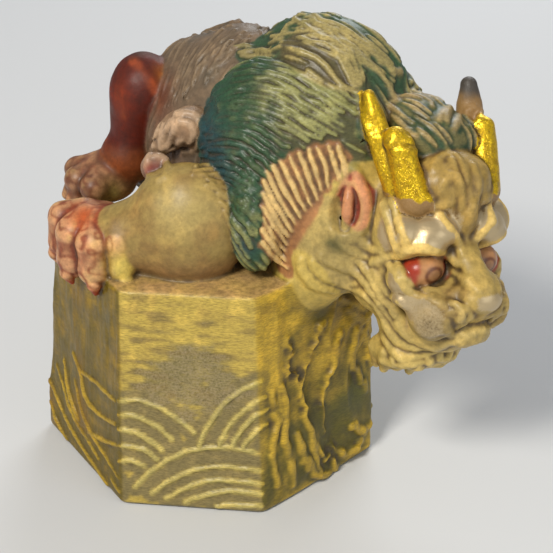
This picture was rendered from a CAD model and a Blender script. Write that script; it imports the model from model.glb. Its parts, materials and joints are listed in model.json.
# Foo dog statue: the figure's visible skin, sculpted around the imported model.
import json
import time
import bpy
import mathutils
import numpy as np
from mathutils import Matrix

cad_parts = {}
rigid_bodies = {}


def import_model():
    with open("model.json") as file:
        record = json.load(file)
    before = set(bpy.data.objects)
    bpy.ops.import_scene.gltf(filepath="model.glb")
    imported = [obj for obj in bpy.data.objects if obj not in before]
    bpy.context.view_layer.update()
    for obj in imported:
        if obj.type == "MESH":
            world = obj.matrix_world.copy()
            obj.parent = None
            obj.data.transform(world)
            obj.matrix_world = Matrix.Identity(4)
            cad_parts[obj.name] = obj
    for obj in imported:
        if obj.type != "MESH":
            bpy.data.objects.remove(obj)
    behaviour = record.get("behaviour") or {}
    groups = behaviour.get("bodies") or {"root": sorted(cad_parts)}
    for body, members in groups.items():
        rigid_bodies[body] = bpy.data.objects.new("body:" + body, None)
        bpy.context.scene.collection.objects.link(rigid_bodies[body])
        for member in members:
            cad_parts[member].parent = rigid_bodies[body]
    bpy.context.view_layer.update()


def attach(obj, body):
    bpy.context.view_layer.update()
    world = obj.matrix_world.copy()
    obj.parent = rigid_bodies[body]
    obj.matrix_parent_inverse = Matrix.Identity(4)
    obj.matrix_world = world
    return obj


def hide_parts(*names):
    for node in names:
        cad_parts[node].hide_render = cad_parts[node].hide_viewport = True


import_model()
T0 = time.time()

# ---------------------------------------------------------------- sculpt core
# Signed distances in millimetres.  Every form is a list entry; the figure is
# their smooth union, cut into the same pieces as the design.
HO = np.array([65.1, -23.3, 84.7])
HF = np.array([0.572, -0.82, 0.02]); HF = HF / np.linalg.norm(HF)
HU = np.array([0.094, 0.089, 0.992]); HU = HU - HF * (HU @ HF); HU = HU / np.linalg.norm(HU)
HL = np.cross(HU, HF)


def head(a, b, c):
    return HO + HF * a + HL * b + HU * c


FOOT = [(-55.6, 8.0), (-27.0, -39.5), (17.3, -44.8), (25.8, -37.3), (53.2, -6.9), (36.0, 41.0), (-16.0, 48.0)]
RIM = [(-50.0, 6.0), (-24.3, -33.7), (13.7, -36.9), (24.0, -32.4), (53.0, -5.3), (35.0, 38.0), (-14.0, 44.0)]
PH = 72.0

PIECES = ["plinth", "torso", "foreleg_right", "foreleg_left", "neck", "hind_leg_right", "hind_leg_left",
          "head", "forehead", "eye_right", "eye_left", "brow_right", "brow_left", "muzzle", "lower_jaw", "beard",
          "ear_right", "ear_left", "horn_right", "horn_left", "cheek_ruff_right", "cheek_ruff_left",
          "mane_left", "mane_crest", "mane_right", "forelock", "fore_paw_right", "fore_paw_left",
          "hind_paw_right", "hind_paw_left", "tail", "shoulder_curl_right", "shoulder_curl_left"]
PID = {n: i for i, n in enumerate(PIECES)}
FORMS = []      # (piece id, kind, centre, reach, data, k)


def axes(d1, d3):
    x = np.array(d1, float); x = x / np.linalg.norm(x)
    z = np.array(d3, float); z = z - x * (z @ x); z = z / np.linalg.norm(z)
    return np.stack([x, np.cross(z, x), z])


def ell(piece, c, r, d1=(1, 0, 0), d3=(0, 0, 1), k=2.0, sub=False):
    FORMS.append((PID[piece], "cut" if sub else "ell", np.array(c, float), max(r), (np.array(c, float), np.array(r, float), axes(d1, d3)), k))


def cap(piece, a, b, ra, rb, k=2.0, sub=False):
    a = np.array(a, float); b = np.array(b, float)
    FORMS.append((PID[piece], "ccut" if sub else "cap", (a + b) / 2, np.linalg.norm(b - a) / 2 + max(ra, rb), (a, b, ra, rb), k))


def chain(piece, pts, rads, k=1.5):
    """One smooth tapered limb through the points."""
    pts = np.array(pts, float)
    FORMS.append((PID[piece], "chain", pts.mean(0), float(np.linalg.norm(pts - pts.mean(0), axis=1).max() + max(rads)), (pts, np.array(rads, float)), k))


def hell(piece, f, s, u, r, d1=None, d3=None, **kw):
    """Ellipsoid in the head's own frame; d1, d3 are given in that frame too."""
    M = np.stack([HF, HL, HU])
    a = HF if d1 is None else np.array(d1, float) @ M
    b = HU if d3 is None else np.array(d3, float) @ M
    ell(piece, head(f, s, u), r, a, b, **kw)


def pair(piece, f, s, u, r, d1=(1, 0, 0), d3=(0, 0, 1), **kw):
    """hell on both sides: piece may be 'x' for x_right / x_left, or a single piece."""
    for side, sg in (("right", -1), ("left", 1)):
        p = piece + "_" + side if piece + "_" + side in PID else piece
        hell(p, f, sg * s, u, r, (d1[0], sg * d1[1], d1[2]), (d3[0], sg * d3[1], d3[2]), **kw)


def hcap(piece, a, b, ra, rb, **kw):
    cap(piece, head(*a), head(*b), ra, rb, **kw)


# --- body
BD = (0.76, -0.65, 0.06)
ell("torso", (9, 16, 101), (35, 23, 28), BD, k=3)
ell("torso", (12, 20, 117), (19, 15, 19.5), BD, k=8)
ell("torso", (-3, 31, 107), (16.5, 16, 22), BD, k=6)
ell("torso", (-17, 36, 86), (13, 12, 11), k=6)
ell("neck", (39, -6, 99), (26, 23, 28), (0.8, -0.6, -0.2), k=5)
ell("neck", (33, -20, 78), (13, 11, 17), (0.8, -0.6, 0), k=6)
ell("neck", (47, 3, 80), (12, 13, 18), k=6)
# --- limbs
ell("foreleg_right", (-5, -17.5, 86.5), (18.5, 14, 19.5), (1, 0, -0.1), k=4)
ell("foreleg_right", (-22, -16, 82), (13, 10.5, 11), (1, 0.1, -0.1), k=5)
ell("foreleg_left", (38, 16, 92), (13, 15, 20), (0.94, 0.34, -0.1), k=4)
ell("hind_leg_right", (-20.6, 27, 112), (11.2, 11.5, 13.5), (1, 0, 0), (-0.12, 0, 1), k=2.5)
ell("hind_leg_right", (-22.5, 27, 103), (9.3, 10, 12), (1, 0, 0), k=3)
ell("hind_leg_right", (-26.5, 25, 91), (9, 8.5, 9), k=4)
ell("hind_leg_left", (-3, 45, 106), (12, 12, 16), k=3)
ell("hind_leg_left", (1, 43, 90), (11, 9.5, 11), k=4)
# --- tail: a flame-shaped tuft laid up the back
chain("tail", [(-16, 50, 86), (-12, 51, 98), (-6, 49, 110), (1, 44, 120), (7, 38, 127), (9, 33, 131)], [7.5, 8.5, 8.5, 7, 4.5, 3], k=2)
# --- head
hell("head", 0, 0, 7, (17, 19.5, 20), k=3)
hell("head", -3, -12, -8, (14, 9, 15), k=5)
hell("head", -3, 12, -8, (14, 9, 15), k=5)
hell("forehead", 7.5, 0, 20.5, (10.0, 13.5, 9.5), k=2)
pair("forehead", 12.0, 5.6, 20.0, (5.0, 5.6, 7.5), (1, 0.3, 0), (-0.3, 0, 1), k=1.6)
hell("forehead", 15.5, 0, 14.0, (4.6, 3.6, 7.0), d3=(-0.25, 0, 1), k=2)
pair("head", 4.0, 17.0, 8.5, (5.5, 4.2, 9), (1, 0.3, 0), (0.1, 0, 1), k=2.5)
pair("brow", 12.5, 9.6, 7.6, (7.8, 9.0, 6.2), (1, 0.25, 0), (0.15, 0.35, 1), k=1.3)
pair("brow", 9.5, 15.5, 6.6, (6.5, 5.0, 7.0), (1, 0.5, 0), (0.1, 0.2, 1), k=1.6)
hell("muzzle", 16.5, 0, -11.5, (13.5, 11.5, 9), k=3)
hcap("muzzle", (16, 0, 3), (27, 0, -5.5), 4.2, 5.0, k=3)
hell("muzzle", 28.3, 0, -8.3, (5.0, 6.8, 4.6), k=1.6)
pair("muzzle", 27.0, 6.8, -12.3, (3.6, 3.4, 3.3), k=0.9)
pair("muzzle", 20.0, 11.0, -14.8, (7.6, 5.6, 8.0), (1, -0.35, 0), (-0.35, 0.1, 1), k=1.8)
pair("head", 11.0, 16.8, -6.6, (4.6, 3.6, 4.4), k=1.2)
pair("head", 13.0, 15.6, -11.2, (4.4, 3.6, 3.6), k=1.0)
hell("lower_jaw", 12.5, 0, -22.4, (12.5, 11.5, 7.2), k=2)
hell("lower_jaw", 23.8, 0, -20.6, (5.6, 7.4, 4.2), k=2)
hell("beard", 4.5, 0, -31, (10.5, 12.0, 9.5), (1, 0, 0.35), k=3)
for i, (f, sd, u, ln) in enumerate(((8, -8, -33, 5.5), (3, -9.5, -34.5, 6), (-2, -9, -35, 5.5), (11, -3, -32, 5), (12, 3, -32, 5), (8, 8, -33, 5.5), (3, 9.5, -34.5, 6), (5, -1, -36, 6), (-3, 6, -36, 5))):
    hcap("beard", (f, sd, u), (f - 2.5 + 0.8 * (i % 3), sd * 1.02, u - ln), 4.2, 1.5, k=2.2)
hell("beard", 3, 0, -22, (11, 14.5, 11), k=4)
pair("ear", -8.0, 22.6, 9.8, (7.6, 4.4, 9.6), (0.82, -0.54, 0), (-0.10, -0.08, 1), k=1.0)
pair("ear", -9.6, 22.8, 17.5, (4.0, 3.2, 5.6), (0.82, -0.54, 0), (-0.16, -0.08, 1), k=3.0)
pair("eye", 13.6, 10.3, -3.0, (5.4, 6.6, 4.9), k=0.2)
for sg, side in ((-1, "right"), (1, "left")):
    w = 1.0 if sg < 0 else 0.93
    chain("horn_" + side, [head(9.6, sg * 13.6 * w, 17.0), head(7.0, sg * 15.0 * w, 23), head(4.4, sg * 16.2 * w, 29.5), head(2.4, sg * 17.6 * w, 34.0)], [4.9, 4.7, 4.0, 3.2], k=1.2)
    chain("horn_" + side, [head(3.0, sg * 15.6 * w, 20), head(-2.5, sg * 17.6 * w, 29), head(-6.5, sg * 19.0 * w, 38), head(-8.8, sg * 19.8 * w, 43.4)], [4.2, 3.8, 2.9, 1.7] if sg < 0 else [5.0, 4.7, 4.0, 2.7], k=1.2)
# --- ruffs and mane
ell("cheek_ruff_right", (38.5, -22.5, 87), (20, 10.5, 20), (0.9, -0.3, -0.2), k=3)
hell("cheek_ruff_left", -16, 20, -3, (13, 9, 17), k=3)
ell("mane_right", (19.5, -13, 107), (22.5, 13, 29), (0.9, -0.42, 0.1), (0.12, 0.1, 1), k=1.6)
ell("mane_right", (36, -14, 113), (20, 12, 18), (0.85, -0.4, -0.3), k=6)
ell("mane_right", (14.5, -25, 88), (7.0, 6, 13), (0.9, -0.42, 0.1), (-0.25, 0.1, 1), k=6)
ell("mane_crest", (39, 3, 124), (25, 12.5, 20), (0.84, -0.28, -0.46), k=1.4)
ell("mane_crest", (57, -3, 112), (16, 12, 13), (0.74, -0.28, -0.62), k=5)
ell("mane_crest", (38, -5.5, 126.5), (20, 14, 13.5), (0.84, -0.28, -0.46), k=4)
ell("mane_left", (46, 17, 106), (20, 12, 24), (0.8, -0.55, 0.0), k=3)
hell("forelock", -2, 1, 31.5, (10, 14, 6.5), (1, 0, -0.3), k=3)
hell("forelock", -8, 0, 35, (8, 11, 6), (1, 0, -0.4), k=3)
# --- paws
for i, (a, r) in enumerate((((-43.8, -8, 79), 5.3), ((-40, -16, 77.5), 5.8), ((-33.5, -21.5, 76.5), 5.8), ((-25.5, -22.5, 77.5), 4.8))):
    a = np.array(a, float); back = np.array([-33, -9, 84.0])
    o = (a - back) * (1, 1, 0); o = o / np.linalg.norm(o)
    chain("fore_paw_right", [back + (a - back) * 0.25, a * 0.45 + back * 0.55 + (0, 0, 4.6), a + (0, 0, 5.6), a + o * 0.7 + (0, 0, 1.4), a + o * 0.6 - (0, 0, 2.6), a + o * 0.4 - (0, 0, 5.2)], [6.3, r * 0.84, r * 0.96, r * 0.82, r * 0.90, r * 0.66], k=0.9)
    chain("fore_paw_right", [a + o * 2.2 - (0, 0, 3.0), a + o * 3.4 - (0, 0, 6.6), a + o * 1.8 - (0, 0, 10.5)], [2.5, 2.3, 0.8], k=0.35)
ell("fore_paw_right", (-33, -10, 81), (11, 10.5, 9), k=3)
for i, (a, r) in enumerate((((54, 9, 79), 4.6), ((52.5, 16, 78), 5.0), ((49.5, 23, 78), 5.0), ((44, 29, 79), 4.4))):
    a = np.array(a, float); back = np.array([40, 14, 84.0])
    o = (a - back) * (1, 1, 0); o = o / np.linalg.norm(o)
    chain("fore_paw_left", [back + (a - back) * 0.25, a * 0.45 + back * 0.55 + (0, 0, 4.6), a + (0, 0, 5.0), a + o * 0.7 + (0, 0, 1.2), a + o * 0.6 - (0, 0, 2.6), a + o * 0.2 - (0, 0, 5.2)], [6.0, r * 0.82, r * 0.98, r * 0.72, r * 0.92, r * 0.62], k=0.9)
    chain("fore_paw_left", [a + o * 2.0 - (0, 0, 3.0), a + o * 3.0 - (0, 0, 6.4), a + o * 1.4 - (0, 0, 10.0)], [2.3, 2.1, 0.8], k=0.35)
for i, (a, r) in enumerate((((-43.5, 27, 81), 4.4), ((-42.5, 20.5, 80), 4.7), ((-37, 15.5, 79.5), 4.7))):
    a = np.array(a, float); back = np.array([-32, 26, 86.0])
    o = (a - back) * (1, 1, 0); o = o / np.linalg.norm(o)
    chain("hind_paw_right", [back, a * 0.5 + back * 0.5 + (0, 0, 3.6), a + (0, 0, 4.6), a + o * 0.5 + (0, 0, 0.8), a - (0, 0, 2.8)], [6.5, r * 0.85, r, r * 0.75, r * 0.9], k=0.9)
    chain("hind_paw_right", [a + o * 2.4 - (0, 0, 1.0), a + o * 3.8 - (0, 0, 4.4), a + o * 2.6 - (0, 0, 7.0)], [2.2, 2.0, 0.8], k=0.35)
ell("hind_paw_right", (-33, 25, 84), (9.5, 9.5, 8.5), k=3)
for i, (a, r) in enumerate((((-3, 54, 79), 4.4), ((4, 55, 78.5), 4.8), ((11, 54, 78.5), 4.6))):
    a = np.array(a, float); back = np.array([4, 45, 84.0])
    o = (a - back) * (1, 1, 0); o = o / np.linalg.norm(o)
    chain("hind_paw_left", [back, a * 0.5 + back * 0.5 + (0, 0, 3.6), a + (0, 0, 4.0), a + o * 0.5 + (0, 0, 0.6), a - (0, 0, 2.8)], [6.5, r * 0.85, r, r * 0.75, r * 0.9], k=0.9)
    chain("hind_paw_left", [a + o * 2.4 - (0, 0, 1.0), a + o * 3.6 - (0, 0, 4.4), a + o * 2.4 - (0, 0, 7.0)], [2.2, 2.0, 0.8], k=0.35)
# --- shoulder curls
ell("shoulder_curl_right", (-14.6, -11, 102.5), (4.6, 4.2, 4.6), k=1.0)
ell("shoulder_curl_right", (-4.5, -2, 112), (6.5, 5.5, 6.5), k=2.5)
ell("shoulder_curl_right", (-11.5, 2, 108), (4, 4.5, 8), (1, 0, -0.5), k=2.5)
ell("shoulder_curl_left", (24, 34, 108), (6, 5, 6), k=1.2)
# --- hollows
pair("head", 20.5, 10.6, -2.6, (7.0, 7.4, 4.4), (1, 0.35, 0), k=1.2, sub=True)
pair("ear", -5.6, 26.4, 10.4, (5.0, 3.6, 7.6), (0.82, -0.54, 0), (-0.10, -0.08, 1), k=0.8, sub=True)
for sg in (-1, 1):
    cap("muzzle", head(31.4, sg * 6.6, -11.2), head(27.5, sg * 7.2, -12.2), 1.4, 1.1, k=0.5, sub=True)
    M_ = [(33.6, 0.0, -14.6), (31.0, sg * 6.0, -15.6), (28.5, sg * 9.6, -18.4), (24.0, sg * 13.4, -22.0), (18.0, sg * 15.6, -22.4)]
    for a_, b_ in zip(M_[:-1], M_[1:]):
        cap("muzzle", head(*a_), head(*b_), 1.15, 1.15, k=0.7, sub=True)

RIDGES = []     # raised strands: (a, b, ra, rb)
GROOVES = []    # cut lines: (a, b, ra, rb)


def strand(pts, r0, r1=None, r2=None, store=None):
    """A raised line; radius r0 at its root, r1 in the middle, r2 at its tip."""
    r1 = r0 if r1 is None else r1
    r2 = r0 if r2 is None else r2
    store = RIDGES if store is None else store
    n = len(pts)
    for i in range(n - 1):
        t0, t1 = i / (n - 1), (i + 1) / (n - 1)
        f = lambda t: (r0 + (r1 - r0) * t * 2) if t < 0.5 else (r1 + (r2 - r1) * (t - 0.5) * 2)
        store.append((*pts[i], *pts[i + 1], f(t0), f(t1)))


def d_ell(P, data):
    c, r, A = data
    q = (P - c.astype(np.float32)) @ (A.T / r).astype(np.float32)
    k0 = np.sqrt((q * q).sum(1))
    q /= r.astype(np.float32)
    k1 = np.sqrt((q * q).sum(1)) + 1e-6
    return k0 * (k0 - 1) / k1


def d_cap(P, data):
    a, b, ra, rb = data
    ba = (b - a).astype(np.float32)
    pa = P - a.astype(np.float32)
    t = np.clip(pa @ ba / max(float(ba @ ba), 1e-6), 0, 1)
    e = pa - t[:, None] * ba
    return np.sqrt((e * e).sum(1)) - (ra + (rb - ra) * t)


def d_chain(P, data):
    pts, rads = data
    out = None
    for i in range(len(pts) - 1):
        d = d_cap(P, (pts[i], pts[i + 1], rads[i], rads[i + 1]))
        out = d if out is None else np.minimum(out, d)
    return out


def d_lines(P, S):
    """Distance to the nearest of many tapered lines."""
    out = np.full(len(P), 1e3, np.float32)
    for s in S:
        a = s[:3]; ba = s[3:6] - a
        pa = P - a
        t = np.clip(pa @ ba / max(float(ba @ ba), 1e-6), 0, 1)
        e = pa - t[:, None] * ba
        np.minimum(out, np.sqrt((e * e).sum(1)) - (s[6] + (s[7] - s[6]) * t), out=out)
    return out


def smin(a, b, k):
    h = np.maximum(k - np.abs(a - b), 0) / k
    return np.minimum(a, b) - h * h * k * 0.25


def smax(a, b, k):
    return -smin(-a, -b, k)


def side_planes():
    out = []
    n = len(FOOT)
    for i in range(n):
        a = np.array([*FOOT[i], 0.0]); b = np.array([*FOOT[(i + 1) % n], 0.0])
        c = (np.array([*RIM[i], PH]) + np.array([*RIM[(i + 1) % n], PH])) / 2
        nrm = np.cross(b - a, c - a); nrm /= np.linalg.norm(nrm)
        mid = (a + b) / 2
        if nrm @ (mid - np.array([0, 0, 30.0])) < 0:
            nrm = -nrm
        t = (b - a) / np.linalg.norm(b - a)
        out.append((a, b, nrm, t, float(np.linalg.norm(b - a))))
    return out


PLANES = side_planes()


def d_plinth(P):
    d = np.maximum(P[:, 2] - PH, -P[:, 2])
    for a, b, nrm, t, L in PLANES:
        d = smax(d, (P - a.astype(np.float32)) @ nrm.astype(np.float32), 1.6)
    return d


def base_fields(P, forms, want_fields=True):
    """Smooth union of the forms near P, and each piece's own distance."""
    n = len(P)
    per = {0: d_plinth(P)}
    ks = {0: 2.5}
    cuts = []
    for pid, kind, c, reach, data, k in forms:
        if kind in ("cut", "ccut"):
            cuts.append((kind, data, k))
            continue
        d = d_ell(P, data) if kind == "ell" else d_cap(P, data) if kind == "cap" else d_chain(P, data)
        if pid in per:
            per[pid] = smin(per[pid], d, k)
        else:
            per[pid] = d
            ks[pid] = k
    D = None
    eyes = None
    for pid in sorted(per):
        d = per[pid]
        if pid in (PID["eye_right"], PID["eye_left"]):
            eyes = d if eyes is None else np.minimum(eyes, d)
            continue
        D = d if D is None else smin(D, d, BLEND[pid])
    for kind, data, k in cuts:
        c = d_ell(P, data) if kind == "cut" else d_cap(P, data)
        D = smax(D, -c, k)
    if eyes is not None:
        D = smin(D, eyes, 0.3)
    return D, per


BLEND = np.full(len(PIECES), 2.0)
for n_, v_ in (("plinth", 2.0), ("torso", 3.0), ("foreleg_right", 2.2), ("neck", 5.0), ("hind_leg_right", 1.6), ("head", 4.0),
               ("forehead", 4.5), ("brow_right", 2.0), ("brow_left", 2.0), ("muzzle", 2.6), ("lower_jaw", 1.4), ("beard", 2.5),
               ("ear_right", 1.2), ("ear_left", 1.2), ("horn_right", 0.9), ("horn_left", 0.9), ("cheek_ruff_right", 1.5),
               ("mane_right", 1.4), ("mane_crest", 7.0), ("mane_left", 2.0), ("forelock", 2.0), ("fore_paw_right", 1.4),
               ("fore_paw_left", 1.4), ("hind_paw_right", 1.4), ("hind_paw_left", 1.4), ("tail", 2.0), ("shoulder_curl_right", 1.0)):
    BLEND[PID[n_]] = v_


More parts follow.
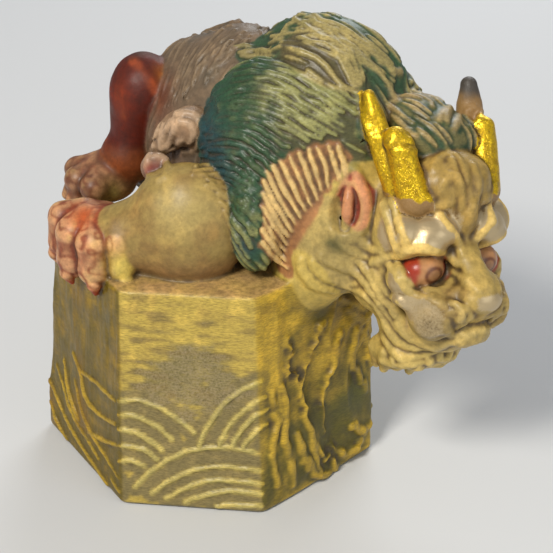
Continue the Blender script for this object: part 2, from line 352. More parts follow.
# Lines of the relief, millimetres: strands of hair, folds and carved lines.
C = {
 "mane": [
  [[55.5,-5.8,133.3],[51.5,-5.4,136.9],[47.5,-3.9,140.1],[43.5,-1.4,142.8],[38.9,1.3,144.6],[33.8,4.3,145.2],[28.5,6.0,144.3],[23.9,4.6,141.8]],
  [[55.7,-6.7,132.1],[51.5,-6.4,135.8],[47.3,-5.2,139.0],[43.0,-3.2,141.8],[38.3,-0.8,143.7],[33.2,1.9,144.6],[27.8,4.0,143.8],[23.0,4.3,141.0]],
  [[55.1,-7.4,131.6],[51.1,-7.3,134.8],[47.2,-6.3,137.7],[43.2,-4.8,140.3],[38.9,-2.9,142.3],[34.4,-0.6,143.5],[29.5,1.9,143.6],[24.7,3.6,141.9]],
  [[55.3,-8.0,130.4],[51.1,-8.0,133.6],[47.0,-7.2,136.5],[42.7,-5.9,139.0],[38.4,-4.0,141.1],[33.8,-1.7,142.5],[28.9,0.9,142.7],[23.9,3.1,141.1]],
  [[55.1,-8.9,128.6],[51.0,-8.9,131.8],[47.0,-8.3,134.7],[42.9,-7.1,137.2],[38.7,-5.4,139.4],[34.3,-3.3,141.0],[29.6,-0.7,141.7],[24.6,2.4,141.1]],
  [[54.1,-9.7,127.4],[49.4,-9.5,131.1],[44.7,-8.5,134.4],[39.8,-6.9,137.2],[34.7,-4.6,139.3],[29.3,-1.7,140.4],[23.5,2.2,140.1]],
  [[53.1,-10.6,126.3],[48.8,-10.1,129.6],[44.5,-9.2,132.6],[40.1,-7.9,135.3],[35.6,-6.0,137.4],[30.7,-3.5,138.8],[25.6,-0.3,139.2],[20.2,4.7,138.3]],
  [[50.0,-11.0,126.9],[45.6,-10.1,130.0],[41.2,-8.9,132.8],[36.7,-7.2,135.2],[31.9,-5.0,137.0],[26.9,-2.1,138.0],[21.6,2.1,137.8]],
  [[44.2,-10.5,129.2],[39.6,-9.0,131.9],[34.9,-7.1,134.3],[30.0,-4.6,136.0],[24.8,-1.3,136.8],[19.3,4.0,136.2]],
  [[45.4,-15.3,128.1],[41.0,-10.3,129.5],[36.3,-8.2,131.9],[31.4,-6.0,134.0],[26.3,-3.0,135.3],[20.9,1.4,135.5]],
  [[15.1,9.1,133.7],[9.4,10.5,132.9]],
  [[44.6,-19.1,128.1],[40.3,-16.7,130.3],[36.0,-9.0,130.6],[31.4,-6.4,132.5],[26.5,-3.6,133.9],[21.3,0.3,134.2],[15.8,6.6,132.9],[10.2,8.7,131.9]],
  [[44.8,-21.3,126.8],[40.5,-19.5,129.2],[36.2,-16.4,131.1],[31.7,-12.2,132.5]],
  [[27.1,-4.5,132.3],[22.0,-0.8,132.9],[16.6,4.6,131.9],[11.0,7.1,130.8]],
  [[44.1,-22.7,125.9],[39.8,-20.9,128.3],[35.4,-18.3,130.4],[31.0,-15.5,132.4],[26.3,-13.5,134.2],[21.3,-11.7,135.5],[16.0,-8.9,135.2]],
  [[43.5,-23.8,124.8],[38.3,-21.7,127.8],[33.2,-18.9,130.4],[27.8,-16.2,132.8],[22.0,-14.1,134.5],[15.8,-11.3,134.6],[9.5,-6.9,132.1]],
  [[40.6,-24.0,125.0],[36.5,-22.4,127.1],[32.4,-20.5,129.2],[28.2,-18.5,131.2],[23.8,-16.7,132.8],[19.1,-14.7,133.7],[14.2,-12.5,133.2],[9.3,-9.7,131.3]],
  [[42.3,-25.5,122.4],[37.8,-24.1,124.8],[33.3,-22.5,127.0],[28.9,-20.5,129.3],[24.3,-18.5,131.2],[19.3,-16.4,132.4],[14.0,-14.0,132.0],[8.7,-11.1,129.9]],
  [[40.7,-25.9,121.6],[35.7,-24.5,124.1],[30.8,-22.7,126.6],[25.9,-20.6,129.0],[20.6,-18.3,130.7],[14.9,-15.7,130.9],[9.0,-12.7,128.9],[3.3,-7.9,124.7]],
  [[41.2,-26.6,119.8],[36.1,-25.5,122.2],[31.2,-24.0,124.6],[26.4,-22.0,127.1],[21.3,-19.8,128.9],[15.9,-17.3,129.7],[10.1,-14.5,128.2],[4.5,-10.8,124.7]],
  [[38.8,-26.7,119.1],[34.0,-25.7,121.4],[29.3,-24.3,123.7],[24.7,-22.4,126.1],[19.7,-20.3,127.7],[14.4,-17.7,128.0],[8.9,-14.9,126.4],[3.6,-10.9,122.8]],
  [[35.5,-26.7,118.9],[30.7,-25.6,121.3],[26.0,-24.0,123.6],[21.2,-21.9,125.6],[16.0,-19.5,126.5],[10.4,-16.7,125.7],[5.0,-13.1,122.8]],
  [[34.1,-26.9,117.8],[29.5,-25.9,120.1],[25.0,-24.4,122.1],[20.5,-22.5,124.0],[15.6,-20.2,125.0],[10.4,-17.5,124.3],[5.2,-14.2,121.7]],
  [[30.9,-26.8,117.6],[26.6,-25.7,119.7],[22.2,-24.0,121.6],[17.7,-22.0,123.1],[12.9,-19.6,123.4],[7.8,-16.7,121.9],[2.8,-12.8,118.7]],
  [[29.2,-27.2,115.7],[25.4,-26.1,117.7],[21.6,-24.6,119.6],[17.7,-22.8,121.2],[13.4,-20.7,121.7],[8.9,-18.0,121.0],[4.4,-14.8,118.7],[-0.1,-9.5,114.7]],
  [[25.0,-26.7,115.2],[21.9,-25.6,117.0],[18.7,-24.2,118.6],[15.4,-22.4,119.8],[11.7,-20.4,120.0],[7.9,-18.0,119.2],[4.0,-15.1,117.2],[0.3,-10.8,114.0]],
  [[23.6,-26.9,113.0],[20.5,-25.8,115.0],[17.3,-24.2,116.8],[13.9,-22.3,118.1],[10.1,-20.1,118.2],[6.2,-17.4,117.1],[2.2,-13.9,114.6]],
  [[21.1,-26.8,111.4],[18.3,-25.5,113.4],[15.4,-23.9,115.2],[12.3,-22.0,116.4],[8.7,-19.7,116.3],[4.9,-16.9,115.1],[1.2,-13.2,112.5]],
  [[20.2,-27.0,108.7],[17.7,-25.9,110.7],[15.2,-24.5,112.4],[12.5,-22.9,113.8],[9.3,-20.8,114.2],[5.9,-18.4,113.4],[2.5,-15.2,111.7],[-1.0,-9.9,108.3]],
  [[18.7,-26.9,106.5],[16.4,-25.8,108.3],[14.0,-24.4,110.0],[11.5,-22.8,111.5],[8.5,-20.8,111.8],[5.2,-18.3,111.0],[1.9,-15.0,109.4]],
  [[16.1,-26.2,105.1],[13.8,-24.8,106.9],[11.4,-23.3,108.6],[8.5,-21.3,109.4],[5.2,-18.8,108.8],[1.8,-15.4,107.3]],
  [[16.8,-27.2,102.5],[14.5,-25.8,104.2],[12.2,-24.2,105.8],[9.8,-22.5,107.1],[6.7,-20.3,107.1],[3.5,-17.5,106.2],[0.2,-14.7,105.0],[-2.6,-18.6,105.8]],
  [[16.7,-28.1,100.5],[14.5,-26.8,102.4],[12.2,-24.9,103.9],[9.6,-22.7,104.9],[6.5,-20.4,104.9],[3.3,-17.9,104.4],[0.2,-19.2,105.1],[-2.9,-20.8,105.3]],
  [[16.1,-28.7,99.1],[13.9,-27.6,101.0],[11.6,-25.5,102.4],[8.9,-22.7,102.9],[5.9,-20.2,102.9],[2.9,-20.4,103.8],[-0.2,-21.4,104.6],[-3.2,-22.1,104.8]],
  [[16.6,-29.7,96.4],[14.8,-29.1,98.4],[12.9,-27.9,99.9],[10.8,-25.9,101.0],[8.4,-22.8,100.9],[5.8,-21.5,101.5],[3.3,-22.2,102.8],[0.7,-22.7,103.7]],
  [[16.7,-30.3,94.1],[15.1,-29.9,96.0],[13.4,-29.1,97.7],[11.6,-27.8,99.1],[9.5,-25.4,99.6],[7.2,-22.7,99.8],[4.9,-23.0,101.1],[2.6,-23.4,102.3]],
  [[16.1,-30.7,92.6],[14.4,-30.3,94.8],[12.5,-29.3,96.6],[10.5,-27.6,97.9],[8.2,-24.3,98.3],[5.9,-23.8,99.7],[3.4,-24.1,101.3],[0.9,-24.2,102.5]],
  [[16.1,-31.1,90.0],[14.7,-30.8,92.2],[13.2,-30.2,94.0],[11.6,-29.2,95.6],[9.9,-27.6,96.7],[8.0,-24.9,97.3],[6.1,-24.5,98.8],[4.2,-24.6,100.4]],
  [[15.8,-31.2,87.9],[14.5,-31.1,90.1],[13.2,-30.6,92.0],[11.7,-29.8,93.7],[10.2,-28.4,95.1],[8.6,-26.2,96.1],[7.0,-25.0,97.4],[5.2,-24.9,99.1]],
  [[14.5,-31.0,85.3],[13.2,-30.9,87.3],[12.0,-30.4,89.2],[10.8,-29.7,91.0],[9.5,-28.4,92.5],[8.2,-26.7,93.7],[6.9,-26.2,95.5],[5.5,-26.0,97.4]],
  [[13.4,-30.2,81.9],[12.0,-30.1,83.9],[11.0,-29.8,86.0],[10.0,-29.2,87.9],[8.9,-28.1,89.6],[7.9,-27.3,91.4],[7.0,-27.0,93.5],[6.0,-26.7,95.7]],
 ],
 "ruff": [
  [[39.2,-27.4,116.1],[39.9,-27.7,114.3],[40.7,-28.0,112.1],[41.2,-28.8,109.9],[41.5,-30.3,108.6]],
  [[36.3,-27.4,115.8],[37.1,-27.7,113.9],[38.1,-28.1,111.4],[38.8,-28.7,108.8],[39.3,-29.4,106.9]],
  [[33.4,-27.5,115.5],[34.5,-27.9,113.1],[35.7,-28.3,109.8],[36.3,-28.8,106.4],[36.5,-28.6,103.4]],
  [[30.6,-27.4,114.9],[31.6,-27.9,112.4],[32.9,-28.3,109.1],[33.8,-28.6,105.7],[34.4,-29.0,103.0]],
  [[28.0,-27.4,113.9],[29.3,-28.0,111.0],[30.9,-28.4,107.1],[32.3,-28.7,103.0],[33.3,-29.3,99.9]],
  [[25.4,-27.3,112.6],[26.9,-28.0,109.5],[28.7,-28.6,105.4],[30.5,-28.7,100.9],[31.9,-29.4,97.7]],
  [[22.8,-27.2,111.3],[24.3,-27.9,108.2],[26.3,-28.6,104.0],[28.4,-28.7,99.6],[30.1,-29.1,96.3]],
  [[20.5,-26.9,109.6],[22.0,-27.8,106.4],[24.2,-28.5,102.0],[26.6,-28.6,97.6],[28.7,-28.9,94.3]],
  [[18.7,-26.7,107.7],[20.4,-27.6,104.3],[22.6,-28.3,99.9],[25.2,-28.4,95.3],[27.2,-28.5,91.8]],
  [[17.9,-26.8,104.6],[19.4,-27.8,101.4],[21.6,-28.4,97.2],[24.1,-28.2,92.8],[26.1,-28.0,89.3]],
  [[17.6,-27.8,101.2],[19.0,-28.6,98.4],[21.0,-28.9,94.5],[23.3,-28.1,90.3],[25.2,-27.6,87.2]],
  [[17.3,-29.1,97.9],[18.7,-29.5,95.3],[20.6,-29.3,91.7],[22.8,-27.9,87.6],[24.6,-27.1,84.6]],
  [[17.3,-30.1,94.5],[18.6,-30.2,92.0],[20.4,-29.6,88.5],[22.6,-27.0,84.2],[24.3,-26.8,81.9]],
  [[17.3,-30.8,91.0],[18.6,-30.5,88.5],[20.4,-29.3,85.1],[22.6,-25.2,80.4],[24.3,-26.9,79.2]],
  [[17.2,-31.0,87.2],[18.6,-30.3,84.7],[20.6,-27.5,80.7],[23.0,-25.3,77.4],[24.9,-27.5,76.9]],
 ],
 "jaw": [
  [[46.6,-34.4,82.3],[48.4,-36.7,80.0],[50.5,-38.7,77.0],[52.4,-39.6,73.8],[55.1,-39.4,70.5],[57.5,-38.9,66.6],[58.7,-40.3,63.2],[60.6,-41.9,60.4],[63.8,-43.5,58.7],[67.6,-45.3,58.8],[70.9,-49.8,61.9],[73.9,-51.9,64.9]],
  [[40.7,-31.0,73.3],[44.4,-31.5,72.2],[48.0,-36.1,72.2],[51.0,-37.6,69.6],[53.3,-36.8,65.2],[54.9,-38.2,61.7],[57.1,-40.4,58.9],[60.2,-42.6,57.6],[64.2,-43.8,56.8],[68.4,-43.6,56.1],[72.3,-46.2,58.2],[75.1,-52.1,63.0]],
  [[42.0,-15.1,60.3],[46.7,-10.6,56.0],[50.1,-7.2,50.6]],
  [[52.9,-35.6,57.8],[55.1,-39.3,55.7],[58.1,-42.1,54.4],[62.1,-43.7,54.2],[66.3,-44.0,54.6],[70.7,-42.7,54.9]],
  [[44.5,-13.0,55.6],[47.0,-10.6,52.3],[49.9,-7.7,47.8],[51.4,-6.2,43.4]],
  [[54.1,-36.0,50.4],[56.3,-39.2,50.0],[59.1,-41.8,50.8],[62.2,-43.3,51.5],[65.5,-43.8,52.4],[68.2,-43.5,53.0]],
  [[47.3,-10.6,47.8],[48.5,-9.4,45.1],[50.3,-7.7,41.3],[51.9,-5.6,37.5]],
  [[62.9,-41.6,48.1],[64.9,-42.4,49.0]],
  [[32.0,-31.4,80.5],[32.6,-31.6,79.7],[33.5,-31.8,78.5],[34.7,-31.9,77.4],[35.7,-31.8,76.6],[36.9,-31.8,75.8],[38.2,-31.6,75.1],[39.5,-31.4,74.5],[41.0,-31.3,74.1],[42.5,-31.4,73.9],[43.9,-31.8,73.8],[44.8,-32.6,74.1]],
  [[34.9,-32.2,82.5],[37.5,-32.7,81.1],[40.6,-33.1,80.0],[43.7,-33.4,79.4],[46.2,-34.6,77.9],[48.2,-36.9,76.4],[49.9,-38.1,74.1],[51.7,-38.7,71.5],[53.7,-38.1,68.2],[55.8,-38.4,65.4],[57.4,-39.7,63.1],[58.3,-40.8,60.3]],
  [[28.5,-30.0,80.1],[28.8,-30.3,79.1],[29.3,-30.5,77.6],[30.1,-30.8,76.2],[30.9,-31.0,75.1],[32.0,-31.1,74.1],[33.2,-31.2,73.2],[34.4,-31.1,72.4],[35.8,-30.9,71.6],[37.4,-30.4,70.9],[38.9,-29.7,70.2],[39.9,-29.0,69.6]],
 ],
 "beard": [
  [[53.7,-37.2,53.6],[54.6,-31.2,47.1]],
  [[56.0,-40.1,52.4],[57.1,-39.9,49.9]],
  [[59.4,-42.4,51.7],[60.5,-41.9,49.6]],
  [[63.2,-43.4,51.3],[64.1,-42.7,49.5],[65.2,-40.4,46.6]],
  [[67.0,-43.8,53.2],[67.8,-43.3,51.4],[68.7,-41.6,48.7]],
  [[70.6,-42.6,53.9],[71.3,-42.0,52.1],[72.5,-39.6,49.2]],
 ],
 "face": [
  [[65.0,-40.7,103.8],[67.1,-39.2,101.1],[68.8,-41.6,99.6],[70.4,-42.7,97.4],[72.3,-41.0,93.8],[73.9,-39.7,90.4],[74.8,-41.9,88.6]],
  [[55.2,-36.0,102.9],[55.4,-38.1,101.9],[55.8,-40.0,100.1],[56.6,-41.1,98.5],[57.3,-42.8,97.0],[58.0,-44.6,95.4],[58.6,-45.3,93.8]],
  [[53.0,-35.5,100.9],[53.3,-37.9,99.8],[54.0,-40.0,97.9],[54.6,-41.3,96.0],[55.3,-42.3,94.0],[56.4,-43.0,91.8],[57.6,-41.0,88.8]],
  [[49.4,-36.7,83.4],[50.2,-37.2,84.0],[51.3,-37.9,84.8],[52.5,-38.5,85.6],[53.7,-39.3,86.3],[54.8,-40.1,86.9],[55.7,-40.3,87.2]],
  [[73.1,-41.4,82.5],[74.1,-42.7,82.3],[75.1,-45.4,82.6],[76.1,-47.8,82.8],[77.1,-49.1,82.4],[78.2,-50.4,81.8],[79.1,-51.1,81.1]],
  [[70.7,-52.2,75.2],[71.8,-52.3,75.8],[73.1,-52.6,76.4],[74.3,-52.8,76.3],[75.5,-53.0,75.7],[76.5,-51.4,73.4],[77.1,-50.1,71.5]],
  [[69.9,-53.4,72.6],[70.1,-53.5,71.2],[70.7,-53.0,69.4],[72.2,-50.0,66.8],[73.5,-50.6,66.8],[75.0,-50.5,67.3],[76.2,-50.2,67.6]],
  [[84.8,-45.1,69.8],[83.5,-41.8,66.3],[80.7,-47.3,67.6],[78.3,-49.7,67.5],[76.0,-51.0,66.8],[73.9,-51.7,65.5],[72.2,-51.3,63.6]],
  [[53.8,-39.3,84.7],[55.0,-42.9,84.0],[56.6,-45.9,82.6],[58.5,-46.7,80.3],[60.8,-46.7,78.0],[63.2,-48.3,77.6],[66.0,-49.3,78.5]],
  [[64.4,-40.2,105.4],[65.2,-39.6,104.9],[66.5,-37.2,103.4],[67.5,-36.9,103.0],[68.5,-36.8,103.1],[69.5,-36.7,103.4],[70.2,-36.8,103.6]],
 ],
 "lids": [
  [[55.2,-40.1,86.7],[57.0,-40.9,88.6],[59.0,-45.0,91.7],[61.4,-46.1,92.5],[63.9,-46.1,92.5],[66.5,-44.9,91.5],[69.6,-39.3,87.8],[71.7,-40.0,86.7],[73.0,-41.8,85.3]],
  [[55.8,-40.0,85.1],[56.7,-43.8,84.5],[58.2,-45.9,82.9],[60.3,-45.7,80.7],[63.1,-41.7,77.1],[65.2,-46.7,78.9],[68.0,-46.6,78.9],[70.4,-45.2,79.6],[72.2,-42.7,80.6]],
 ],
 "curl": [
  [[55.8,-7.2,131.3],[58.1,-5.4,130.7]],
  [[55.8,-7.5,130.7],[56.9,-8.5,127.8],[58.7,-9.2,125.0],[60.5,-10.4,122.4],[62.0,-12.0,119.8],[62.8,-19.6,119.5],[64.4,-23.7,118.3]],
  [[67.3,-5.3,119.9],[67.5,-7.7,119.0],[67.0,-15.3,120.0],[66.7,-19.2,119.7],[66.6,-21.3,119.2]],
  [[55.7,-14.1,120.8],[56.2,-12.3,122.4],[58.5,-11.1,122.7],[60.6,-11.1,121.5],[61.7,-12.1,119.7],[62.1,-18.1,119.5],[62.5,-22.0,118.9]],
  [[56.0,-14.5,120.3],[56.5,-14.5,119.9],[57.1,-14.6,119.3],[57.8,-14.6,118.8],[58.3,-14.4,118.8],[58.8,-13.7,119.3],[59.0,-13.2,119.8]],
  [[61.7,-6.8,124.9],[62.4,-7.1,124.0],[63.3,-7.6,122.8],[64.1,-8.4,121.6],[64.8,-9.3,120.3],[65.3,-11.2,119.5],[65.3,-15.4,120.0]],
  [[74.5,-13.7,118.5],[73.0,-19.1,118.3],[71.8,-22.2,117.7]],
  [[70.4,-11.2,119.3],[70.0,-16.0,119.7],[69.9,-18.9,119.3],[69.9,-20.5,118.9]],
  [[78.4,-8.4,119.2],[80.1,-7.8,120.2],[81.7,-7.7,118.9],[80.9,-13.9,119.2],[79.9,-14.1,117.5],[78.4,-13.1,116.8],[77.8,-9.6,117.4]],
  [[67.8,-21.1,119.1],[68.2,-19.8,119.4],[68.7,-17.6,119.7],[69.5,-14.9,119.8],[70.6,-10.7,119.1]],
  [[51.9,-10.9,126.4],[52.6,-11.0,125.8],[53.5,-11.3,125.1],[54.2,-11.6,124.2],[54.8,-12.2,123.3],[55.2,-12.9,122.4],[55.4,-13.4,121.7]],
 ],
 "hair": [
  [[10.3,17.2,136.1],[6.4,14.1,133.8],[2.6,12.0,130.6],[-0.5,9.9,127.1],[-2.7,7.0,123.1],[-4.7,4.6,118.9]],
  [[-6.4,-4.8,117.3],[-8.7,-6.1,113.2]],
  [[8.9,17.7,135.9],[5.1,14.7,133.5],[1.4,12.7,130.2],[-1.5,10.4,126.6],[-3.7,7.5,122.6],[-5.7,5.1,118.3]],
  [[-7.4,-4.8,116.8],[-9.6,-5.4,112.4]],
  [[7.5,18.5,135.7],[3.7,15.6,133.1],[0.1,13.5,129.7],[-2.6,10.9,126.0],[-4.7,8.0,122.0],[-6.7,5.6,117.7]],
  [[-8.4,-4.6,116.3],[-10.7,-3.9,111.3]],
  [[6.1,19.5,135.3],[2.3,16.7,132.7],[-1.1,14.3,129.2],[-3.7,11.6,125.4],[-5.7,8.5,121.4],[-7.7,6.2,117.1]],
  [[-9.4,-4.0,115.6],[-11.7,-2.6,110.3]],
  [[4.6,21.1,134.8],[0.9,18.0,132.1],[-2.4,15.4,128.6],[-4.8,12.3,124.9],[-6.7,9.1,120.8],[-8.8,6.9,116.4]],
  [[-10.4,-2.7,114.7],[-12.6,-2.1,109.6]],
  [[3.1,24.0,133.9],[-0.5,19.8,131.4],[-3.6,16.6,127.9],[-5.9,13.0,124.2],[-7.7,9.7,120.2],[-9.8,7.6,115.8]],
  [[-11.5,-1.1,113.6],[-13.6,-1.7,109.0]],
  [[-2.0,22.0,130.6],[-4.9,17.8,127.3],[-7.0,13.9,123.6],[-8.8,10.3,119.6],[-10.8,8.4,115.1]],
  [[-12.6,-0.2,112.7],[-14.6,-1.1,108.2]],
  [[-3.4,23.8,129.9],[-6.2,19.0,126.7],[-8.2,14.8,122.9],[-9.8,11.1,118.9],[-11.9,9.3,114.3]],
  [[-13.6,0.7,111.9],[-15.6,-0.1,107.3]],
  [[-4.8,25.2,129.3],[-7.5,20.0,126.1],[-9.3,15.6,122.3],[-10.8,11.8,118.2],[-12.9,10.3,113.6],[-15.3,10.5,107.6],[-17.6,12.9,101.5]],
  [[15.9,13.9,135.3],[13.8,12.4,134.7],[11.1,11.0,133.6],[8.9,9.7,132.2],[7.1,8.4,130.6],[5.2,7.1,128.7],[3.3,5.8,126.6],[2.0,5.0,125.0]],
  [[14.5,14.7,135.5],[12.5,12.9,134.8],[9.8,11.3,133.5],[7.8,10.0,132.0],[5.9,8.7,130.3],[4.2,7.3,128.3],[2.4,5.9,126.1],[1.2,4.9,124.4]],
  [[13.1,15.3,135.8],[11.1,13.4,134.9],[8.6,11.7,133.4],[6.6,10.4,131.8],[4.8,9.1,130.0],[3.1,7.6,127.9],[1.5,5.9,125.5],[0.4,4.8,123.8]],
  [[11.7,16.1,136.0],[9.8,14.1,135.0],[7.4,12.3,133.3],[5.4,10.9,131.6],[3.6,9.5,129.6],[2.0,7.9,127.5],[0.6,6.1,125.0],[-0.4,4.8,123.1]],
 ],
 "loops": [
  [[-8.7,-3.1,116.8],[-6.1,-4.4,117.6],[-3.5,-5.2,117.2],[-1.4,-5.8,115.6],[-0.3,-9.1,114.4],[-0.5,-10.1,111.9],[-1.9,-5.6,107.4],[-4.1,-2.8,104.4],[-6.8,-0.7,103.1]],
  [[-7.4,-6.2,115.1],[-6.4,-6.5,115.2],[-5.0,-6.8,115.1],[-4.1,-7.1,114.5],[-3.5,-7.3,113.4],[-3.2,-7.4,112.2],[-3.5,-7.4,110.9],[-4.2,-7.1,109.6],[-4.9,-6.7,108.5]],
  [[-9.6,-4.7,114.5],[-10.9,-3.4,112.3],[-12.3,-2.2,109.7],[-13.4,-2.1,107.4],[-13.3,-2.1,105.0],[-11.8,-2.2,105.4],[-10.5,-3.0,108.1],[-9.5,-5.5,111.5],[-9.0,-5.7,113.7]],
  [[-16.0,-0.1,104.9],[-16.3,0.5,104.1]],
  [[-17.8,13.4,98.0],[-18.3,14.9,96.5]],
  [[-16.5,-11.4,106.7],[-16.7,-12.4,106.3],[-16.9,-13.1,105.8],[-17.0,-13.6,105.2],[-17.1,-13.9,104.7]],
  [[-11.6,-1.6,104.2],[-11.2,-1.6,104.4],[-10.6,-1.3,104.6],[-9.9,-0.9,104.7],[-9.3,-0.3,104.9],[-8.8,0.2,105.2],[-7.8,-5.4,108.1],[-7.3,-6.3,109.0],[-6.9,-6.6,109.5]],
  [[-17.4,-14.0,104.1],[-16.3,-12.9,106.2],[-13.8,-12.5,106.7],[-11.5,-12.6,105.5],[-10.6,-17.8,105.0],[-11.5,-21.3,103.9],[-13.8,-21.2,102.7],[-16.5,-15.4,101.5],[-17.5,-14.2,103.6]],
 ],
 "waves": [
  [[-22.5,-39.4,6.4],[-17.7,-39.5,12.2],[-12.1,-39.7,16.8],[-6.1,-40.1,20.1],[0.3,-40.7,21.9],[6.9,-41.5,22.4],[13.3,-42.3,21.7],[19.5,-40.6,18.7]],
  [[-17.3,-40.2,4.8],[-13.0,-40.4,8.5],[-8.3,-40.7,11.6],[-3.6,-41.0,13.9],[1.5,-41.5,15.1],[6.9,-42.1,15.6],[12.5,-42.8,15.4],[17.0,-42.9,14.7]],
  [[-12.8,-40.9,3.2],[-8.8,-41.1,6.1],[-4.7,-41.4,8.3],[-0.5,-41.7,10.0],[3.8,-42.2,10.9],[8.2,-42.7,10.9],[13.3,-43.3,10.7],[17.0,-43.3,10.2]],
  [[-6.9,-41.7,2.2],[-3.6,-41.9,4.0],[-0.3,-42.2,5.3],[3.2,-42.5,6.5],[6.5,-42.8,7.2],[10.0,-43.2,7.4],[14.0,-43.7,7.2],[17.0,-43.7,6.7]],
  [[3.0,-43.0,1.4],[4.9,-43.1,2.0],[7.5,-43.4,2.4],[9.9,-43.7,2.5],[12.7,-44.0,2.6],[15.2,-44.3,2.7],[17.0,-44.2,2.5]],
  [[-26.7,-35.4,35.3],[-23.4,-36.5,36.3],[-20.1,-36.9,36.3],[-17.1,-37.3,35.5],[-14.1,-37.8,34.3],[-11.4,-38.3,32.7],[-8.7,-38.8,31.0],[-6.1,-39.3,28.9],[-3.7,-39.8,26.8]],
  [[-26.9,-35.8,30.5],[-24.6,-36.8,31.2],[-22.2,-37.1,31.0],[-20.1,-37.5,30.4],[-18.0,-37.8,29.5],[-16.0,-38.1,28.5],[-14.1,-38.5,27.2],[-12.3,-38.9,25.5],[-10.9,-39.2,23.9]],
  [[-27.1,-36.1,25.6],[-25.4,-37.2,26.0],[-23.3,-37.5,25.7],[-21.4,-37.8,25.2],[-19.7,-38.1,24.3],[-18.2,-38.4,23.4],[-16.6,-38.6,22.4],[-15.1,-38.9,21.1],[-13.8,-39.2,19.9]],
  [[-27.3,-36.5,19.7],[-25.9,-37.5,20.3],[-24.1,-37.9,20.4],[-22.3,-38.1,20.3],[-20.7,-38.4,20.0],[-19.2,-38.6,19.6],[-17.8,-38.8,18.8],[-16.4,-39.1,17.6],[-15.4,-39.3,16.7]],
  [[-27.5,-36.9,14.4],[-26.7,-37.6,14.9],[-25.6,-38.2,15.3],[-24.4,-38.4,15.5],[-23.3,-38.5,15.5],[-22.2,-38.6,15.3],[-21.2,-38.8,14.8],[-20.2,-39.0,14.3],[-19.6,-39.1,14.0]],
  [[17.1,-39.5,44.5],[13.8,-40.3,43.6],[10.5,-40.1,41.5],[7.5,-39.9,39.1],[5.0,-39.9,36.1],[2.7,-40.0,32.7],[0.6,-40.0,29.2],[-1.1,-40.2,25.4],[-2.3,-40.4,21.5]],
  [[18.3,-39.2,39.0],[16.1,-40.6,38.6],[13.6,-40.9,37.1],[11.5,-40.8,35.1],[9.5,-40.8,33.0],[7.7,-40.8,30.6],[6.2,-40.8,28.0],[4.8,-41.0,24.9],[3.9,-41.1,22.3]],
  [[18.9,-39.2,34.7],[17.3,-40.5,34.6],[15.4,-41.3,33.8],[13.9,-41.3,32.4],[12.5,-41.3,30.7],[11.2,-41.4,28.9],[9.9,-41.4,26.9],[8.7,-41.4,24.7],[7.9,-41.5,22.9]],
  [[18.9,-39.8,29.7],[18.0,-40.6,29.7],[16.7,-41.4,29.3],[15.6,-41.8,28.6],[14.6,-41.9,27.6],[13.7,-41.9,26.4],[12.8,-41.9,25.2],[11.9,-41.9,23.8],[11.3,-41.9,22.8]],
  [[-51.0,3.4,25.7],[-48.6,-1.1,20.9],[-46.5,-5.3,15.8],[-43.2,-11.1,12.4],[-39.3,-18.0,9.9],[-35.2,-25.0,7.6]],
  [[-30.8,-32.6,5.3],[-27.6,-38.1,3.5]],
  [[-43.5,-7.6,36.3],[-42.1,-10.3,34.7],[-40.5,-13.2,32.1],[-40.2,-14.2,28.8],[-39.5,-15.7,25.7],[-37.5,-19.1,24.1],[-34.9,-23.5,23.6],[-31.4,-29.2,24.6],[-28.1,-34.5,26.4]],
  [[-53.6,6.9,17.6],[-51.8,3.4,14.2],[-49.3,-1.3,10.5],[-46.6,-6.1,7.8],[-43.3,-11.7,5.7],[-39.7,-17.9,4.1],[-36.2,-24.0,2.8],[-32.2,-30.8,1.4]],
  [[-39.8,-14.2,33.1],[-38.5,-16.3,33.4],[-36.7,-19.3,33.7],[-35.1,-22.0,34.0],[-33.6,-24.4,34.0],[-32.3,-26.7,34.0],[-30.8,-29.1,34.1],[-29.0,-32.0,34.5],[-27.8,-34.0,34.8]],
  [[-43.2,-9.2,27.2],[-42.5,-10.9,24.2],[-41.4,-13.2,20.1],[-39.9,-16.0,16.5],[-37.8,-19.9,14.1],[-35.3,-24.2,12.6],[-32.8,-28.6,11.0],[-29.8,-33.7,9.4],[-27.7,-37.3,8.3]],
  [[-54.1,6.6,9.2],[-53.1,4.7,7.2],[-51.7,2.0,4.5],[-50.1,-0.9,2.6],[-48.3,-4.0,1.1]],
  [[-38.4,-18.9,13.5],[-37.5,-20.4,14.0],[-36.1,-22.6,14.6],[-34.6,-25.1,15.3],[-33.1,-27.4,16.1],[-31.6,-29.8,16.9],[-30.1,-32.3,17.9],[-28.6,-34.5,18.8],[-27.7,-36.1,19.4]],
  [[-47.9,-1.2,30.0],[-47.6,-1.9,28.3],[-47.2,-2.8,25.9],[-46.7,-4.0,23.2],[-46.1,-5.3,20.8],[-45.3,-6.9,18.7],[-44.2,-9.0,16.8],[-43.1,-11.0,15.1],[-42.3,-12.4,14.0]],
 ],
 "rock": [
  [[23.5,-34.4,40.4],[24.7,-34.0,35.0],[24.8,-34.6,29.4],[23.8,-36.1,24.3],[24.4,-36.2,18.5],[25.9,-35.5,12.1],[27.0,-35.0,5.4]],
  [[28.4,-29.8,42.3],[29.1,-29.7,37.9],[30.1,-29.5,31.8],[30.9,-29.2,26.6],[31.9,-28.8,20.9],[32.9,-28.3,15.0],[34.0,-27.7,8.5],[34.8,-27.1,3.7]],
  [[35.5,-21.9,55.4],[34.7,-22.9,52.8],[33.7,-24.2,49.2],[32.6,-25.6,45.9],[31.6,-26.9,42.8],[30.6,-28.1,39.8],[29.5,-29.5,36.1],[28.8,-30.5,33.4]],
  [[40.7,-17.5,48.4],[40.3,-18.2,44.6],[39.6,-19.4,39.5],[38.3,-21.0,35.4],[36.7,-23.0,31.8],[36.1,-24.0,27.2],[36.6,-23.9,21.2],[37.2,-23.6,16.5]],
